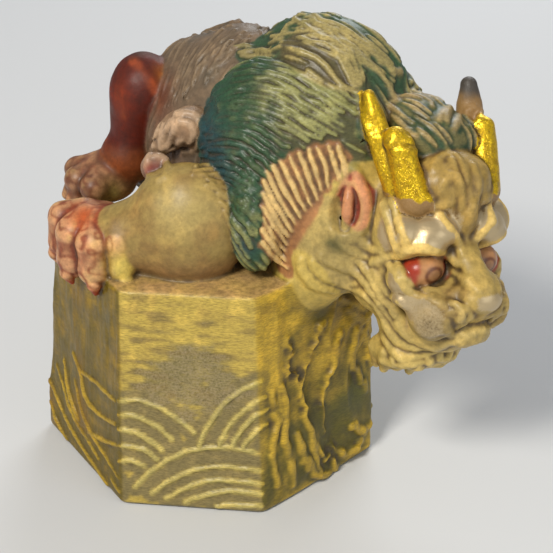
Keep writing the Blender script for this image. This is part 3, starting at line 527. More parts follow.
  [[46.6,-11.4,46.8],[45.7,-12.5,44.4],[44.8,-13.7,41.0],[45.2,-13.5,37.2],[46.6,-12.3,32.9],[48.3,-10.7,28.4],[50.3,-8.7,24.1]],
  [[45.3,-14.9,14.0],[46.1,-14.0,12.9],[47.4,-12.7,11.2],[48.7,-11.3,9.6],[50.0,-10.0,8.7],[51.3,-8.5,8.4],[52.5,-6.8,8.3]],
  [[27.6,-33.0,21.0],[28.4,-32.5,18.3],[29.6,-31.7,14.3],[30.9,-30.7,10.6],[32.5,-29.4,6.4],[34.3,-27.7,2.9],[37.0,-24.8,1.1],[39.4,-22.1,1.0]],
  [[37.9,-23.1,13.2],[39.0,-22.0,10.8],[40.5,-20.5,7.7],[42.3,-18.7,5.3],[44.5,-16.3,3.8],[46.3,-14.4,3.7],[47.8,-12.6,4.7],[48.9,-11.4,5.7]],
  [[20.1,-37.5,39.7],[20.8,-37.4,35.7],[21.3,-37.5,30.5],[21.0,-38.4,26.3],[20.2,-39.5,22.3],[20.2,-40.1,17.6],[20.8,-40.2,12.1],[21.3,-40.2,8.0]],
  [[50.2,-7.9,38.3],[50.6,-7.5,36.8],[51.3,-6.9,34.6],[52.0,-5.7,31.8]],
  [[32.0,-29.0,17.0],[33.2,-27.9,15.3],[34.8,-26.4,12.8],[36.2,-25.1,10.5],[37.6,-23.7,8.1],[38.8,-22.5,5.8],[40.0,-21.4,2.9],[40.8,-20.5,0.8]],
  [[25.0,-31.4,54.4],[25.3,-31.2,53.1],[25.9,-31.0,51.2],[26.2,-31.0,49.2],[26.1,-31.2,47.5],[25.8,-31.8,45.8],[25.3,-32.3,44.3],[25.0,-32.7,43.3]],
  [[42.9,-16.4,31.5],[47.1,-12.1,26.6],[48.6,-10.8,20.8],[46.7,-13.1,17.6],[42.1,-18.1,20.3],[38.9,-21.1,25.9],[39.3,-20.3,30.6],[43.0,-16.4,31.1]],
 ],
 "brow": [
  [[65.7,-35.1,112.5],[67.6,-32.4,114.0],[69.9,-30.1,114.7],[72.3,-29.9,114.5],[74.0,-31.8,113.5],[75.1,-34.0,111.6],[75.8,-35.7,109.0]],
  [[68.1,-39.4,107.6],[69.2,-38.5,110.1],[70.9,-37.3,111.3],[72.6,-36.9,110.6],[73.8,-37.3,108.5],[74.3,-37.7,105.3],[74.5,-38.3,102.1]],
  [[78.2,-30.9,111.6],[78.7,-32.6,109.8],[79.2,-33.6,107.6],[79.3,-34.2,105.2],[78.9,-35.5,103.2],[77.9,-38.0,101.8],[76.8,-38.9,99.9]],
  [[70.5,-28.2,115.5],[71.0,-29.1,114.8],[71.3,-30.7,114.5],[71.6,-32.1,114.0],[71.8,-33.4,113.4],[72.0,-34.6,112.8],[72.2,-35.6,112.1]],
  [[37.7,-32.9,91.3],[38.9,-33.4,89.6],[40.3,-33.8,88.1],[42.0,-34.0,86.7],[43.8,-34.2,85.5],[45.7,-34.2,84.5],[47.7,-35.0,83.9]],
  [[43.5,-32.3,93.0],[44.5,-34.2,91.8],[45.8,-34.2,89.9],[47.3,-34.3,88.3],[49.0,-35.2,87.3],[50.7,-37.3,87.2],[52.6,-38.9,87.1]],
  [[64.3,-49.1,78.4],[65.6,-50.2,78.2],[66.9,-50.9,77.9],[68.2,-51.4,77.4],[69.5,-51.7,76.7],[70.6,-52.1,75.9],[71.5,-52.9,75.0]],
  [[49.4,-37.3,81.1],[50.5,-38.5,79.4],[51.8,-39.5,77.6],[53.3,-40.2,75.9],[55.0,-40.5,74.2],[56.4,-46.5,75.7],[58.2,-47.6,74.7]],
 ],
}


# ------------------------------------------------------------------- relief
def grad_snap(P, it=3):
    """Put points onto the plain skin."""
    P = np.array(P, np.float32)
    for _ in range(it):
        d = skin(P)
        g = np.stack([skin(P + e) - skin(P - e) for e in np.eye(3, dtype=np.float32) * 0.4], 1) / 0.8
        P = P - d[:, None] * g / np.maximum((g * g).sum(1), 0.3)[:, None]
    return P


def outward(P):
    g = np.stack([skin(P + e) - skin(P - e) for e in np.eye(3, dtype=np.float32) * 0.4], 1)
    return g / np.maximum(np.linalg.norm(g, axis=1, keepdims=True), 1e-6)


def skin(P, owner=False):
    """The plain skin's distance at loose points, in bundles that lie close together."""
    out = np.empty(len(P), np.float32)
    own = np.zeros(len(P), int)
    order = np.lexsort((np.floor(P[:, 2] / 12), np.floor(P[:, 1] / 12), np.floor(P[:, 0] / 12)))
    for s in range(0, len(P), 2048):
        idx = order[s:s + 2048]
        Q = P[idx].astype(np.float32)
        c = Q.mean(0)
        R = np.sqrt(((Q - c) ** 2).sum(1).max())
        out[idx], per = base_fields(Q, [f for f in FORMS if np.linalg.norm(f[2] - c) < f[3] + R + 8])
        if owner:
            ids = np.array(sorted(per))
            own[idx] = ids[np.stack([per[i] for i in ids]).argmin(0)]
    return (out, own) if owner else out


def mirror(P, c, n):
    n = np.array(n, float); n = n / np.linalg.norm(n)
    P = np.array(P, float)
    return P - 2 * ((P - c) @ n)[:, None] * n


WOB = np.random.RandomState(11)


def lay(groups, r, snap=True, fn=None, wave=0.0, sink=0.0):
    """Lay strands of radii r=(root, middle, tip) on the skin; returns their segments."""
    store = []
    for pts in groups:
        P = np.array(pts, float)
        if fn is not None:
            P = fn(P)
            if len(P) < 3:
                continue
        if snap:
            P0 = P
            P = grad_snap(P)
            if len(P) < 2 or np.linalg.norm(np.diff(P, axis=0), axis=1).max() > 12:
                continue
            if fn is not None and np.linalg.norm(P - P0, axis=1).mean() > 3.2:
                continue
            if sink:
                P = P - outward(P) * sink
        k = WOB.uniform(0.82, 1.12)
        if wave:
            # finer points, with a slight wander to and fro
            t = np.linspace(0, len(P) - 1, 2 * len(P) - 1)
            P = np.stack([np.interp(t, np.arange(len(P)), P[:, c]) for c in range(3)], 1)
            P = P + WOB.normal(0, wave, P.shape)
        strand(P.tolist(), *[k * v for v in r], store=store)
    return store


head_mirror = lambda P: mirror(P, HO, HL)
body_mirror = lambda P: mirror(P, np.array([24.0, 8.0, 100.0]), (0.65, 0.76, 0.0))


def edge_span(i, z):
    """Where side i begins and ends, along its foot, at height z."""
    a1, b1, n1, t1, L1 = PLANES[i]
    r0 = np.array([*RIM[i], PH]); r1 = np.array([*RIM[(i + 1) % len(RIM)], PH])
    u = z / PH
    return u * ((r0 - a1) @ t1), L1 + u * ((r1 - a1) @ t1 - L1)


def face_copy(i):
    """Carry lines from the front face (1) to face i, by share of its width."""
    a0, b0, n0, t0, L0 = PLANES[1]
    a1, b1, n1, t1, L1 = PLANES[i]
    def fn(P):
        s = (P - a0) @ t0 / L0
        out = a1 + np.outer(s * L1, t1)
        out[:, 2] = P[:, 2]
        out -= ((out - a1) @ n1)[:, None] * n1
        # each side narrows upwards: stay clear of both its edges
        lo, hi = edge_span(i, out[:, 2])
        w = (out - a1) @ t1
        return out[(w > lo + 1.0) & (w < hi - 1.0)]
    return fn


SETS = {}
R_SET = {"mane": (0.85, 1.05, 0.8), "ruff": (0.8, 0.95, 0.6), "jaw": (1.3, 1.9, 1.0), "beard": (0.9, 1.35, 0.7), "face": (1.0, 1.5, 0.9),
         "lids": (1.0, 1.6, 1.0), "fill": (0.6, 0.92, 0.5), "fur": (0.4, 0.7, 0.35), "curl": (0.7, 1.05, 0.6), "hair": (0.4, 0.72, 0.3), "loops": (0.7, 1.05, 0.6), "waves": (0.66, 0.86, 0.66),
         "rock": (0.9, 1.35, 0.9), "ear": (1.0, 1.7, 0.7)}
SETS["mane"] = lay(C["mane"], R_SET["mane"], wave=0.22) + lay(C["mane"], R_SET["mane"], fn=body_mirror, wave=0.22)
for n_, w_ in (("ruff", 0.12), ("jaw", 0.15), ("beard", 0.15), ("face", 0.05), ("lids", 0.0)):
    k_ = 0.45 if n_ in ("jaw", "face", "lids") else 0.0
    SETS[n_] = lay(C[n_], R_SET[n_], wave=w_, sink=k_) + lay(C[n_], R_SET[n_], fn=head_mirror, wave=w_, sink=k_)
SETS["face"] += lay(C["brow"], (0.75, 1.15, 0.6), wave=0.05, sink=0.42)
SETS["curl"] = lay(C["curl"], R_SET["curl"]) + lay(C["curl"], R_SET["curl"], fn=body_mirror)
SETS["hair"] = lay(C["hair"], R_SET["hair"], wave=0.3) + lay(C["hair"], R_SET["hair"], fn=body_mirror, wave=0.3)
SETS["loops"] = lay(C["loops"], R_SET["loops"]) + lay(C["loops"], R_SET["loops"], fn=body_mirror)
SETS["waves"] = lay(C["waves"], R_SET["waves"], wave=0.08)
fronts = [g for g in C["waves"] if np.array(g)[:, 1].max() < -30]
for i_ in (4, 5, 6):
    SETS["waves"] += lay(fronts, R_SET["waves"], snap=False, fn=face_copy(i_))
SETS["rock"] = lay(C["rock"][:-1], R_SET["rock"], wave=0.5)


def comb(pieces, guides, count, seed, r, gap, step=2.5, reach=4):
    """Fill bare skin with more strands that follow the guides' run."""
    G_ = np.array(guides, np.float32)
    gc, gt = (G_[:, :3] + G_[:, 3:6]) / 2, G_[:, 3:6] - G_[:, :3]
    gt = gt / np.maximum(np.linalg.norm(gt, axis=1, keepdims=True), 1e-6)

    def flow(P):
        out = np.empty_like(P)
        for k in range(0, len(P), 1500):
            Q = P[k:k + 1500]
            d2 = (Q * Q).sum(1)[:, None] + (gc * gc).sum(1)[None] - 2 * Q @ gc.T
            w = 1 / (np.maximum(d2, 0) + 5.0) ** 2
            out[k:k + 1500] = w @ gt
        return out / np.maximum(np.linalg.norm(out, axis=1, keepdims=True), 1e-12)

    rs = np.random.RandomState(seed)
    ids = [PID[n] for n in pieces]
    forms = [f for f in FORMS if f[0] in ids and f[1] in ("ell", "chain")]
    seeds = []
    for f in forms:
        n = int(count / len(forms))
        d = rs.normal(size=(n, 3)); d /= np.linalg.norm(d, axis=1, keepdims=True)
        if f[1] == "ell":
            c, rr, A = f[4]
            seeds.append(c + (d * rr) @ A)
        else:
            pts, rads = f[4]
            k = rs.randint(0, len(pts) - 1, n); t = rs.rand(n, 1)
            seeds.append(pts[k] + (pts[k + 1] - pts[k]) * t + d * rads[k][:, None])
    S0 = grad_snap(np.concatenate(seeds), 4)
    d, own = skin(S0, owner=True)
    S0 = S0[(np.abs(d) < 0.4) & np.isin(own, ids) & (S0[:, 2] > PH + 2)]
    path = [S0]
    for sgn in (-1, 1):
        Q = S0
        for _ in range(reach):
            Q = grad_snap(Q + sgn * step * flow(Q.astype(np.float32)), 2)
            path = [Q] + path if sgn < 0 else path + [Q]
    path = np.stack(path, 1)
    d, own = skin(path.reshape(-1, 3).astype(np.float32), owner=True)
    good = ((np.abs(d) < 0.5) & np.isin(own, ids)).reshape(path.shape[:2])
    taken = [np.array([s_[:3] for n_ in SETS if n_ not in ("waves", "rock") for s_ in SETS[n_]] + [s_[3:6] for n_ in SETS if n_ not in ("waves", "rock") for s_ in SETS[n_]]),
             np.array([np.add(s_[:3], s_[3:6]) / 2 for n_ in SETS if n_ not in ("waves", "rock") for s_ in SETS[n_]])]
    T_ = np.concatenate(taken).astype(np.float32)
    full = np.empty((len(T_) + 12000, 3), np.float32); full[:len(T_)] = T_; m = len(T_)
    out = []
    for i in rs.permutation(len(path)):
        L_ = path[i]
        near_ = full[:m][np.abs(full[:m] - L_[reach]).sum(1) < 3.2 * step * reach]
        free = good[i].copy()
        if len(near_):
            free &= np.sqrt(((L_[:, None] - near_[None]) ** 2).sum(2).min(1)) > gap
        if not free[reach]:
            continue
        a = reach
        while a > 0 and free[a - 1]:
            a -= 1
        b = reach
        while b < len(L_) - 1 and free[b + 1]:
            b += 1
        if b - a < 3 or np.linalg.norm(np.diff(L_[a:b + 1], axis=0), axis=1).min() < 0.4:
            continue
        L_ = L_[a:b + 1]
        k = rs.uniform(0.8, 1.15)
        strand(L_.tolist(), *[k * v for v in r], store=out)
        new = np.concatenate([L_, (L_[1:] + L_[:-1]) / 2])
        if m + len(new) > len(full):
            break
        full[m:m + len(new)] = new; m += len(new)
    return out


SETS["fill"] = comb(("mane_right", "mane_crest", "mane_left", "forelock"), SETS["mane"], 5200, 21, R_SET["fill"], 1.75)
ruff_guides = [(*a, *b, 1, 1) for g in C["ruff"] for a, b in zip(head_mirror(g)[:-1], head_mirror(g)[1:])]
SETS["ruff"] = SETS["ruff"] + comb(("cheek_ruff_left",), ruff_guides, 900, 24, R_SET["ruff"], 2.4, reach=3)
a_ = np.linspace(0.3, 3.6 * np.pi, 34)
SETS["loops"] = SETS["loops"] + lay([[(24 + (5.4 - 0.42 * a) * np.cos(a), 39.0 - 0.05 * (5.4 - 0.42 * a) ** 2, 108 + (5.4 - 0.42 * a) * np.sin(a)) for a in a_]], R_SET["loops"])
tail_run = [(-16, 50, 86), (-12, 51, 98), (-6, 49, 110), (1, 44, 120), (7, 38, 127), (9, 33, 131)]
tail_guides = [(*a, *b, 1, 1) for a, b in zip(tail_run[:-1], tail_run[1:])]
SETS["fur"] = comb(("tail",), tail_guides, 500, 22, R_SET["fill"], 1.9, reach=5)
SETS["fur"] = SETS["fur"] + comb(("torso",), SETS["hair"], 2600, 23, R_SET["fur"], 2.1, reach=3)
SETS["ear"] = []
for sg in (-1, 1):
    # the ear: a leaf-shaped rim round a pointed tongue, turned a little forwards
    W_, N_, H_ = np.array([0.82, -0.54, 0.0]), np.array([0.54, 0.82, 0.13]), np.array([-0.10, -0.08, 1.0])
    E_ = np.array([-8.0, 22.6, 9.8])
    ear_ = lambda w, n, h: head(*((E_ + W_ * w + N_ * n + H_ * h) * (1, sg, 1))).tolist()
    strand([ear_(0, 2.2, -5.6), ear_(0.2, 3.0, -1.5), ear_(0, 2.9, 3.0), ear_(-0.4, 2.2, 7.6)], 0.9, 2.1, 0.5, SETS["ear"])
    rim = [ear_(6.0 * np.sin(a) * (1 - 0.28 * max(0, -np.cos(a)) ** 2), 2.5, -8.6 * np.cos(a) + (3.2 * max(0, -np.cos(a)) ** 3)) for a in np.linspace(0, 2 * np.pi, 33)]
    strand(rim, 1.35, 1.5, 1.35, SETS["ear"])
    # nostril wing
    th = np.linspace(-0.6, 4.2, 12)
    strand([head(27.6 + 2.6 * np.cos(a), sg * (9.3 - 0.7 * np.cos(a)), -11.6 + 2.7 * np.sin(a)).tolist() for a in th], 0.9, 1.0, 0.6, SETS["face"])
NAMES = list(SETS)
SEG = np.array([s for n in NAMES for s in SETS[n]], np.float32)
SEGSET = np.array([i for i, n in enumerate(NAMES) for _ in SETS[n]])
SEGC = (SEG[:, :3] + SEG[:, 3:6]) / 2
SEGR = np.linalg.norm(SEG[:, 3:6] - SEG[:, :3], axis=1) / 2 + SEG[:, 6:8].max(1)
SOFT = np.isin(SEGSET, [NAMES.index(n) for n in ("jaw", "face", "beard", "lids", "rock", "ear", "curl", "loops")])
RMAX = np.array([max(R_SET[n]) for n in NAMES] + [1.0])
print("lines", len(SEG))


def lattice(P, scale, seed):
    """Smooth value noise in -1..1, the same every run."""
    q = P / scale
    i = np.floor(q).astype(np.int64)
    f = q - i
    f = f * f * (3 - 2 * f)
    out = np.zeros(len(P))
    for dx in (0, 1):
        for dy in (0, 1):
            for dz in (0, 1):
                n = (i[:, 0] + dx) * 374761393 + (i[:, 1] + dy) * 668265263 + (i[:, 2] + dz) * 2147483647 + seed * 974711
                n = (n ^ (n >> 13)) * 1274126177
                n = n ^ (n >> 16)
                v = (n & 0xFFFF) / 32767.5 - 1
                w = (f[:, 0] if dx else 1 - f[:, 0]) * (f[:, 1] if dy else 1 - f[:, 1]) * (f[:, 2] if dz else 1 - f[:, 2])
                out += v * w
    return out


def fbm(P, scale, seed, octaves=3):
    out = 0
    for k in range(octaves):
        out = out + lattice(P, scale / 2 ** k, seed + k) * 0.5 ** k
    return out / (2 - 0.5 ** (octaves - 1))


def full_field(P, forms, sel):
    """The finished skin, the plain skin, and each piece's own distance; sel picks the lines near P."""
    D, per = base_fields(P, forms)
    B = D
    R = 0
    if (sel & ~SOFT).any():
        D = smin(D, d_lines(P, SEG[sel & ~SOFT]), 0.35)
    if (sel & SOFT).any():
        D = smin(D, d_lines(P, SEG[sel & SOFT]), 1.7)
    if P[:, 2].min() < 68:
        hollow = P[:, 2] - 64.0
        for a, b, nrm, t, L in PLANES:
            hollow = np.maximum(hollow, (P - a.astype(np.float32)) @ nrm.astype(np.float32) + 7.5)
        D = smax(D, -hollow, 0.8)
        B = smax(B, -hollow, 0.8)
    return D, B, R, per


# --------------------------------------------------------------- the surface
VOX = 0.46
LO = np.array([-60.0, -66.0, -4.0])
HI = np.array([104.0, 66.0, 156.0])
NB = np.ceil((HI - LO) / (VOX * 16)).astype(int)
SH = NB * 16
grid = np.empty(SH, np.float32)
ax = [LO[k] + VOX * np.arange(SH[k]) for k in range(3)]
bc = np.stack(np.meshgrid(*[LO[k] + VOX * (16 * np.arange(NB[k]) + 7.5) for k in range(3)], indexing="ij"), -1).reshape(-1, 3)
half = VOX * 8 * 1.732
coarse = np.empty(len(bc), np.float32)
for s in range(0, len(bc), 4096):
    Q = bc[s:s + 4096].astype(np.float32)
    D_, _ = base_fields(Q, FORMS)
    hollow = Q[:, 2] - 64.0
    for a_, b_, nrm_, t_, L_ in PLANES:
        hollow = np.maximum(hollow, (Q - a_.astype(np.float32)) @ nrm_.astype(np.float32) + 7.5)
    coarse[s:s + 4096] = np.maximum(D_, -hollow)
near = 0
for n_, c in enumerate(bc):
    i, j, k = np.unravel_index(n_, NB)
    sl = (slice(16 * i, 16 * i + 16), slice(16 * j, 16 * j + 16), slice(16 * k, 16 * k + 16))
    if abs(coarse[n_]) > half * 1.15 + 3.0:
        grid[sl] = 5.0 if coarse[n_] > 0 else -5.0
        continue
    near += 1
    X, Y, Z = np.meshgrid(ax[0][sl[0]], ax[1][sl[1]], ax[2][sl[2]], indexing="ij")
    P = np.stack([X, Y, Z], -1).reshape(-1, 3).astype(np.float32)
    forms = [f for f in FORMS if np.linalg.norm(f[2] - c) < f[3] + half + 6]
    near_line = np.linalg.norm(SEGC - c, axis=1) < SEGR + half + 1.5
    grid[sl] = full_field(P, forms, near_line)[0].reshape(16, 16, 16)
print("blocks", near, "of", len(bc), SH, round(time.time() - T0, 1), "s")


def surface_nets(G):
    S = G < 0
    a = S[:-1, :-1, :-1]
    every = a.copy(); some = a.copy()
    for dx in (0, 1):
        for dy in (0, 1):
            for dz in (0, 1):
                v = S[dx:S.shape[0] - 1 + dx, dy:S.shape[1] - 1 + dy, dz:S.shape[2] - 1 + dz]
                every &= v
                some |= v
    act = some & ~every
    ids = np.full(act.shape, -1, np.int32)
    I = np.argwhere(act)
    ids[act] = np.arange(len(I), dtype=np.int32)
    corners = np.array([(x, y, z) for x in (0, 1) for y in (0, 1) for z in (0, 1)])
    vals = [G[I[:, 0] + c[0], I[:, 1] + c[1], I[:, 2] + c[2]] for c in corners]
    acc = np.zeros((len(I), 3)); cnt = np.zeros(len(I))
    for p in range(8):
        for q in range(p + 1, 8):
            if np.abs(corners[p] - corners[q]).sum() != 1:
                continue
            m = (vals[p] < 0) != (vals[q] < 0)
            t = vals[p][m] / (vals[p][m] - vals[q][m])
            acc[m] += corners[p] + (corners[q] - corners[p]) * t[:, None]
            cnt[m] += 1
    V = I + acc / cnt[:, None]
    F = []
    for axn in range(3):
        u, w = (axn + 1) % 3, (axn + 2) % 3
        a0 = [slice(None)] * 3; a1 = [slice(None)] * 3
        a0[axn] = slice(0, -1); a1[axn] = slice(1, None)
        s0, s1 = S[tuple(a0)], S[tuple(a1)]
        E = np.argwhere(s0 != s1)
        ok = (E[:, u] > 0) & (E[:, w] > 0) & (E[:, u] < act.shape[u]) & (E[:, w] < act.shape[w])
        E = E[ok]
        inside = s0[E[:, 0], E[:, 1], E[:, 2]]
        du = np.zeros(3, int); du[u] = 1
        dw = np.zeros(3, int); dw[w] = 1
        quad = np.stack([ids[tuple((E - du - dw).T)], ids[tuple((E - dw).T)], ids[tuple(E.T)], ids[tuple((E - du).T)]], 1)
        quad[~inside] = quad[~inside][:, ::-1]
        F.append(quad)
    return V, np.concatenate(F)


V, F = surface_nets(grid)
V = LO + V * VOX
del grid
print("surface", len(V), len(F), round(time.time() - T0, 1), "s")

# ------------------------------------------------- what each point belongs to
NV = len(V)
order = np.lexsort((np.floor(V[:, 2] / 8), np.floor(V[:, 1] / 8), np.floor(V[:, 0] / 8)))
label = np.zeros(NV, np.int32)
hgt = np.zeros(NV)
rdist = np.full(NV, 9.0)
rset = np.full(NV, -1)
key = (np.floor(V[:, 0] / 8).astype(int) + 50) * 10000 + (np.floor(V[:, 1] / 8).astype(int) + 50) * 100 + (np.floor(V[:, 2] / 8).astype(int) + 10)
order = np.argsort(key, kind="stable")
cuts_ = np.flatnonzero(np.diff(key[order])) + 1
for idx in np.split(order, cuts_):
    Q = V[idx].astype(np.float32)
    c = Q.mean(0)
    R_ = float(np.sqrt(((Q - c) ** 2).sum(1).max()))
    forms = [f for f in FORMS if np.linalg.norm(f[2] - c) < f[3] + R_ + 6]
    sel = np.linalg.norm(SEGC - c, axis=1) < SEGR + R_ + 4
    D_, B_, R, per = full_field(Q, forms, np.zeros(len(SEG), bool))
    ids_ = np.array(sorted(per))
    st = np.stack([per[i] for i in ids_])
    label[idx] = ids_[st.argmin(0)]
    hgt[idx] = B_
    if sel.any():
        best = np.full(len(Q), 9.0, np.float32)
        which = np.full(len(Q), -1)
        for si in np.unique(SEGSET[sel]):
            r = d_lines(Q, SEG[sel & (SEGSET == si)])
            m = r < best
            best[m] = r[m]; which[m] = si
        rdist[idx] = best; rset[idx] = which
SN = lambda n: NAMES.index(n)
relabel = (rset == SN("ruff")) & (rdist < 2.6) & np.isin(label, [PID[n] for n in ("mane_right", "mane_left", "neck", "torso")])
label[relabel & (((V - HO) @ HL) < 0)] = PID["cheek_ruff_right"]
label[relabel & (((V - HO) @ HL) >= 0)] = PID["cheek_ruff_left"]
hollow_v = V[:, 2] - 64.0
for a_, b_, nrm_, t_, L_ in PLANES:
    hollow_v = np.maximum(hollow_v, (V - a_) @ nrm_ + 7.5)
label[hollow_v < 1.0] = 0
hgt[hollow_v < 1.0] = 0

edges = np.concatenate([F[:, [0, 1]], F[:, [1, 2]], F[:, [2, 3]], F[:, [3, 0]]])
deg = np.bincount(edges.ravel(), minlength=NV).astype(float)


def spread(A):
    """Mean of each point's neighbours."""
    A = A if A.ndim == 2 else A[:, None]
    out = np.empty_like(A, dtype=float)
    for k in range(A.shape[1]):
        out[:, k] = (np.bincount(edges[:, 0], A[edges[:, 1], k], NV) + np.bincount(edges[:, 1], A[edges[:, 0], k], NV)) / np.maximum(deg, 1)
    return out


def normals(V):
    n = np.cross(V[F[:, 2]] - V[F[:, 0]], V[F[:, 3]] - V[F[:, 1]])
    N = np.stack([sum(np.bincount(F[:, c], n[:, k], NV) for c in range(4)) for k in range(3)], 1)
    return N / np.maximum(np.linalg.norm(N, axis=1, keepdims=True), 1e-9)


# one light relaxing pass takes the grid's steps out of the surface
N = normals(V)
mv = spread(V) - V
V = V + 0.35 * (mv - (mv * N).sum(1, keepdims=True) * N) + 0.08 * mv
N = normals(V)
n1 = fbm(V, 6.0, 1); n2 = fbm(V, 2.2, 7); n3 = fbm(V, 14.0, 13)
S3 = lambda a, b, x: np.clip((x - a) / (b - a), 0, 1) ** 2 * (3 - 2 * np.clip((x - a) / (b - a), 0, 1))
walls = np.stack([(V - a_) @ nrm_ for a_, b_, nrm_, t_, L_ in PLANES], 1)
fi = walls.argmax(1)
outer = (label == 0) & (walls.max(1) > -1.2) & (hollow_v > 3)
# every wall was modelled by hand: a slow unevenness, a fine tooth, and craggy rock on the two far right sides
push = 0.22 * n1 + 0.30 * n3 + 0.05 * n2
crag = 1.0 - np.abs(fbm(V * (1, 1, 0.42), 13.0, 31, 2)) * 3.0
zone = outer & ((fi == 2) | (fi == 3))
crag = (1.4 * crag - 0.85) * S3(0.5, 9.0, -walls[:, 1]) * S3(0.5, 6.0, -walls[:, 4])
push = np.where(zone, push + S3(2, 9, V[:, 2]) * S3(72, 62, V[:, 2]) * crag, push)
zone = outer & (fi == 0)
push = np.where(zone, push + S3(1, 6, V[:, 2]) * (0.45 * np.abs(fbm(V * (1, 1, 0.25), 3.2, 41, 2)) + 0.3 * n3), push)
push = np.where((V[:, 2] < 1.5) | (hollow_v < 2), 0, push)
for _ in range(2):
    push = 0.5 * push + 0.5 * spread(push)[:, 0]
V = V + N * push[:, None]
V[:, 2] = np.maximum(V[:, 2], 0)
N = normals(V)


def cavity(times):
    W = V
    for _ in range(times):
        W = 0.5 * W + 0.5 * spread(W)
    return ((W - V) * N).sum(1)          # positive in a hollow, negative on a ridge


sc = VOX / 0.5
cav_s = cavity(6)
cav_b = cavity(26)
cav_s = cav_s / (0.10 * sc)
cav_b = cav_b / (0.35 * sc)
# labels: smooth away single stray points at the joins
print("labels", round(time.time() - T0, 1), "s")

# -------------------------------------------------------------------- paint
def near_to(c, r):
    return np.exp(-(((V - np.array(c, float)) / np.array(r, float)) ** 2).sum(1))


def is_(*names):
    return np.isin(label, [PID[n] for n in names])


col = np.zeros((NV, 3))
wear = np.zeros(NV)
RS = lambda n: rset == NAMES.index(n)
rel = hgt / RMAX[rset]
ridge = S3(0.22, 0.66, rel)             # 1 on a raised line, 0 in the valley


def mixc(base, other, w):
    w = np.clip(w, 0, 1)[:, None]
    return base * (1 - w) + np.array(other, float) * w


C_OCHRE = (0.46, 0.32, 0.095); C_GREY = (0.255, 0.205, 0.11); C_BROWN = (0.13, 0.085, 0.045)
# body and limbs
body = mixc(np.tile(np.array([0.36, 0.25, 0.115]), (NV, 1)), (0.24, 0.145, 0.075), S3(0.1, 0.7, n1))
body = mixc(body, (0.47, 0.37, 0.17), S3(-0.1, -0.7, n1) * 0.6)
col[:] = body
m = is_("foreleg_right", "foreleg_left")
arm = mixc(np.tile(np.array([0.36, 0.26, 0.095]), (NV, 1)), (0.26, 0.150, 0.055), S3(-0.2, 0.5, n1) * 0.7)
arm = mixc(arm, (0.17, 0.17, 0.10), near_to((-17, -6, 96), (9, 9, 6)) * 0.7)
arm = mixc(arm, (0.50, 0.40, 0.18), near_to((-6, -30, 97), (9, 9, 8)) * 0.8)
arm = mixc(arm, (0.26, 0.155, 0.09), S3(84, 75, V[:, 2]) * 0.7)
col[m] = arm[m]
# rump and back: brownish pink hair
m = is_("torso", "tail", "shoulder_curl_left")
rump = mixc(np.tile(np.array([0.23, 0.15, 0.095]), (NV, 1)), (0.36, 0.24, 0.15), ridge * 0.8)
rump = mixc(rump, (0.12, 0.10, 0.075), S3(0.0, 0.7, n1) * 0.6)
rump = mixc(rump, (0.40, 0.19, 0.12), near_to((-17, 2, 104), (9, 12, 12)) * 0.5)
col[m] = rump[m]
m = is_("torso")
flank = near_to((-14.5, 14, 116), (4.6, 8, 9))
col[m] = mixc(col, (0.20, 0.060, 0.030), flank * 0.95)[m]
m = is_("shoulder_curl_right")
cu = mixc(np.tile(np.array([0.34, 0.21, 0.12]), (NV, 1)), (0.55, 0.37, 0.23), ridge)
cu = mixc(cu, (0.22, 0.05, 0.035), near_to((-15, -15, 102.5), (3.4, 4, 3.4)) * 1.4)
col[m] = cu[m]
# neck and chest
m = is_("neck")
nk = mixc(np.tile(np.array([0.40, 0.29, 0.095]), (NV, 1)), (0.17, 0.15, 0.06), S3(0.15, 0.6, n1) * 0.8)
nk = mixc(nk, (0.10, 0.085, 0.04), near_to((43, -24, 84), (8, 8, 5)) * 0.8)
col[m] = nk[m]
# haunches
m = is_("hind_leg_right", "hind_leg_left")
hz = np.tile(np.array([0.125, 0.026, 0.010]), (NV, 1))
hz = mixc(hz, (0.23, 0.040, 0.014), S3(0.0, 0.6, n1) * 0.7)
hz = mixc(hz, (0.30, 0.12, 0.07), S3(0.30, 0.75, fbm(V * (1, 1, 0.4), 2.4, 71, 3)) * 0.8)
hz = mixc(hz, (0.055, 0.018, 0.010), S3(0.25, 0.7, -n1) * 0.6)
st_a, st_b = np.array([-24.5, 24.0, 125.5]), np.array([-14.0, 14.8, 114.0])
tt = np.clip((V - st_a) @ (st_b - st_a) / ((st_b - st_a) @ (st_b - st_a)), 0, 1)
sd = np.linalg.norm(V - st_a - tt[:, None] * (st_b - st_a), axis=1)
hz = mixc(hz, (0.42, 0.17, 0.11), S3(2.4, 0.6, sd) * 0.9)
hz = mixc(hz, (0.40, 0.25, 0.08), near_to((-13.4, 20.6, 121.0), (3.0, 4, 4)) * 1.1)
hz = mixc(hz, (0.075, 0.045, 0.030), S3(123.5, 126.5, V[:, 2] + 1.5 * n2) * 0.85)
hz = mixc(hz, (0.36, 0.11, 0.045), near_to((-28, 18, 113), (3, 4, 6)) * 0.6)
hz = mixc(hz, (0.27, 0.145, 0.08), S3(99, 92, V[:, 2]))
col[m] = hz[m]
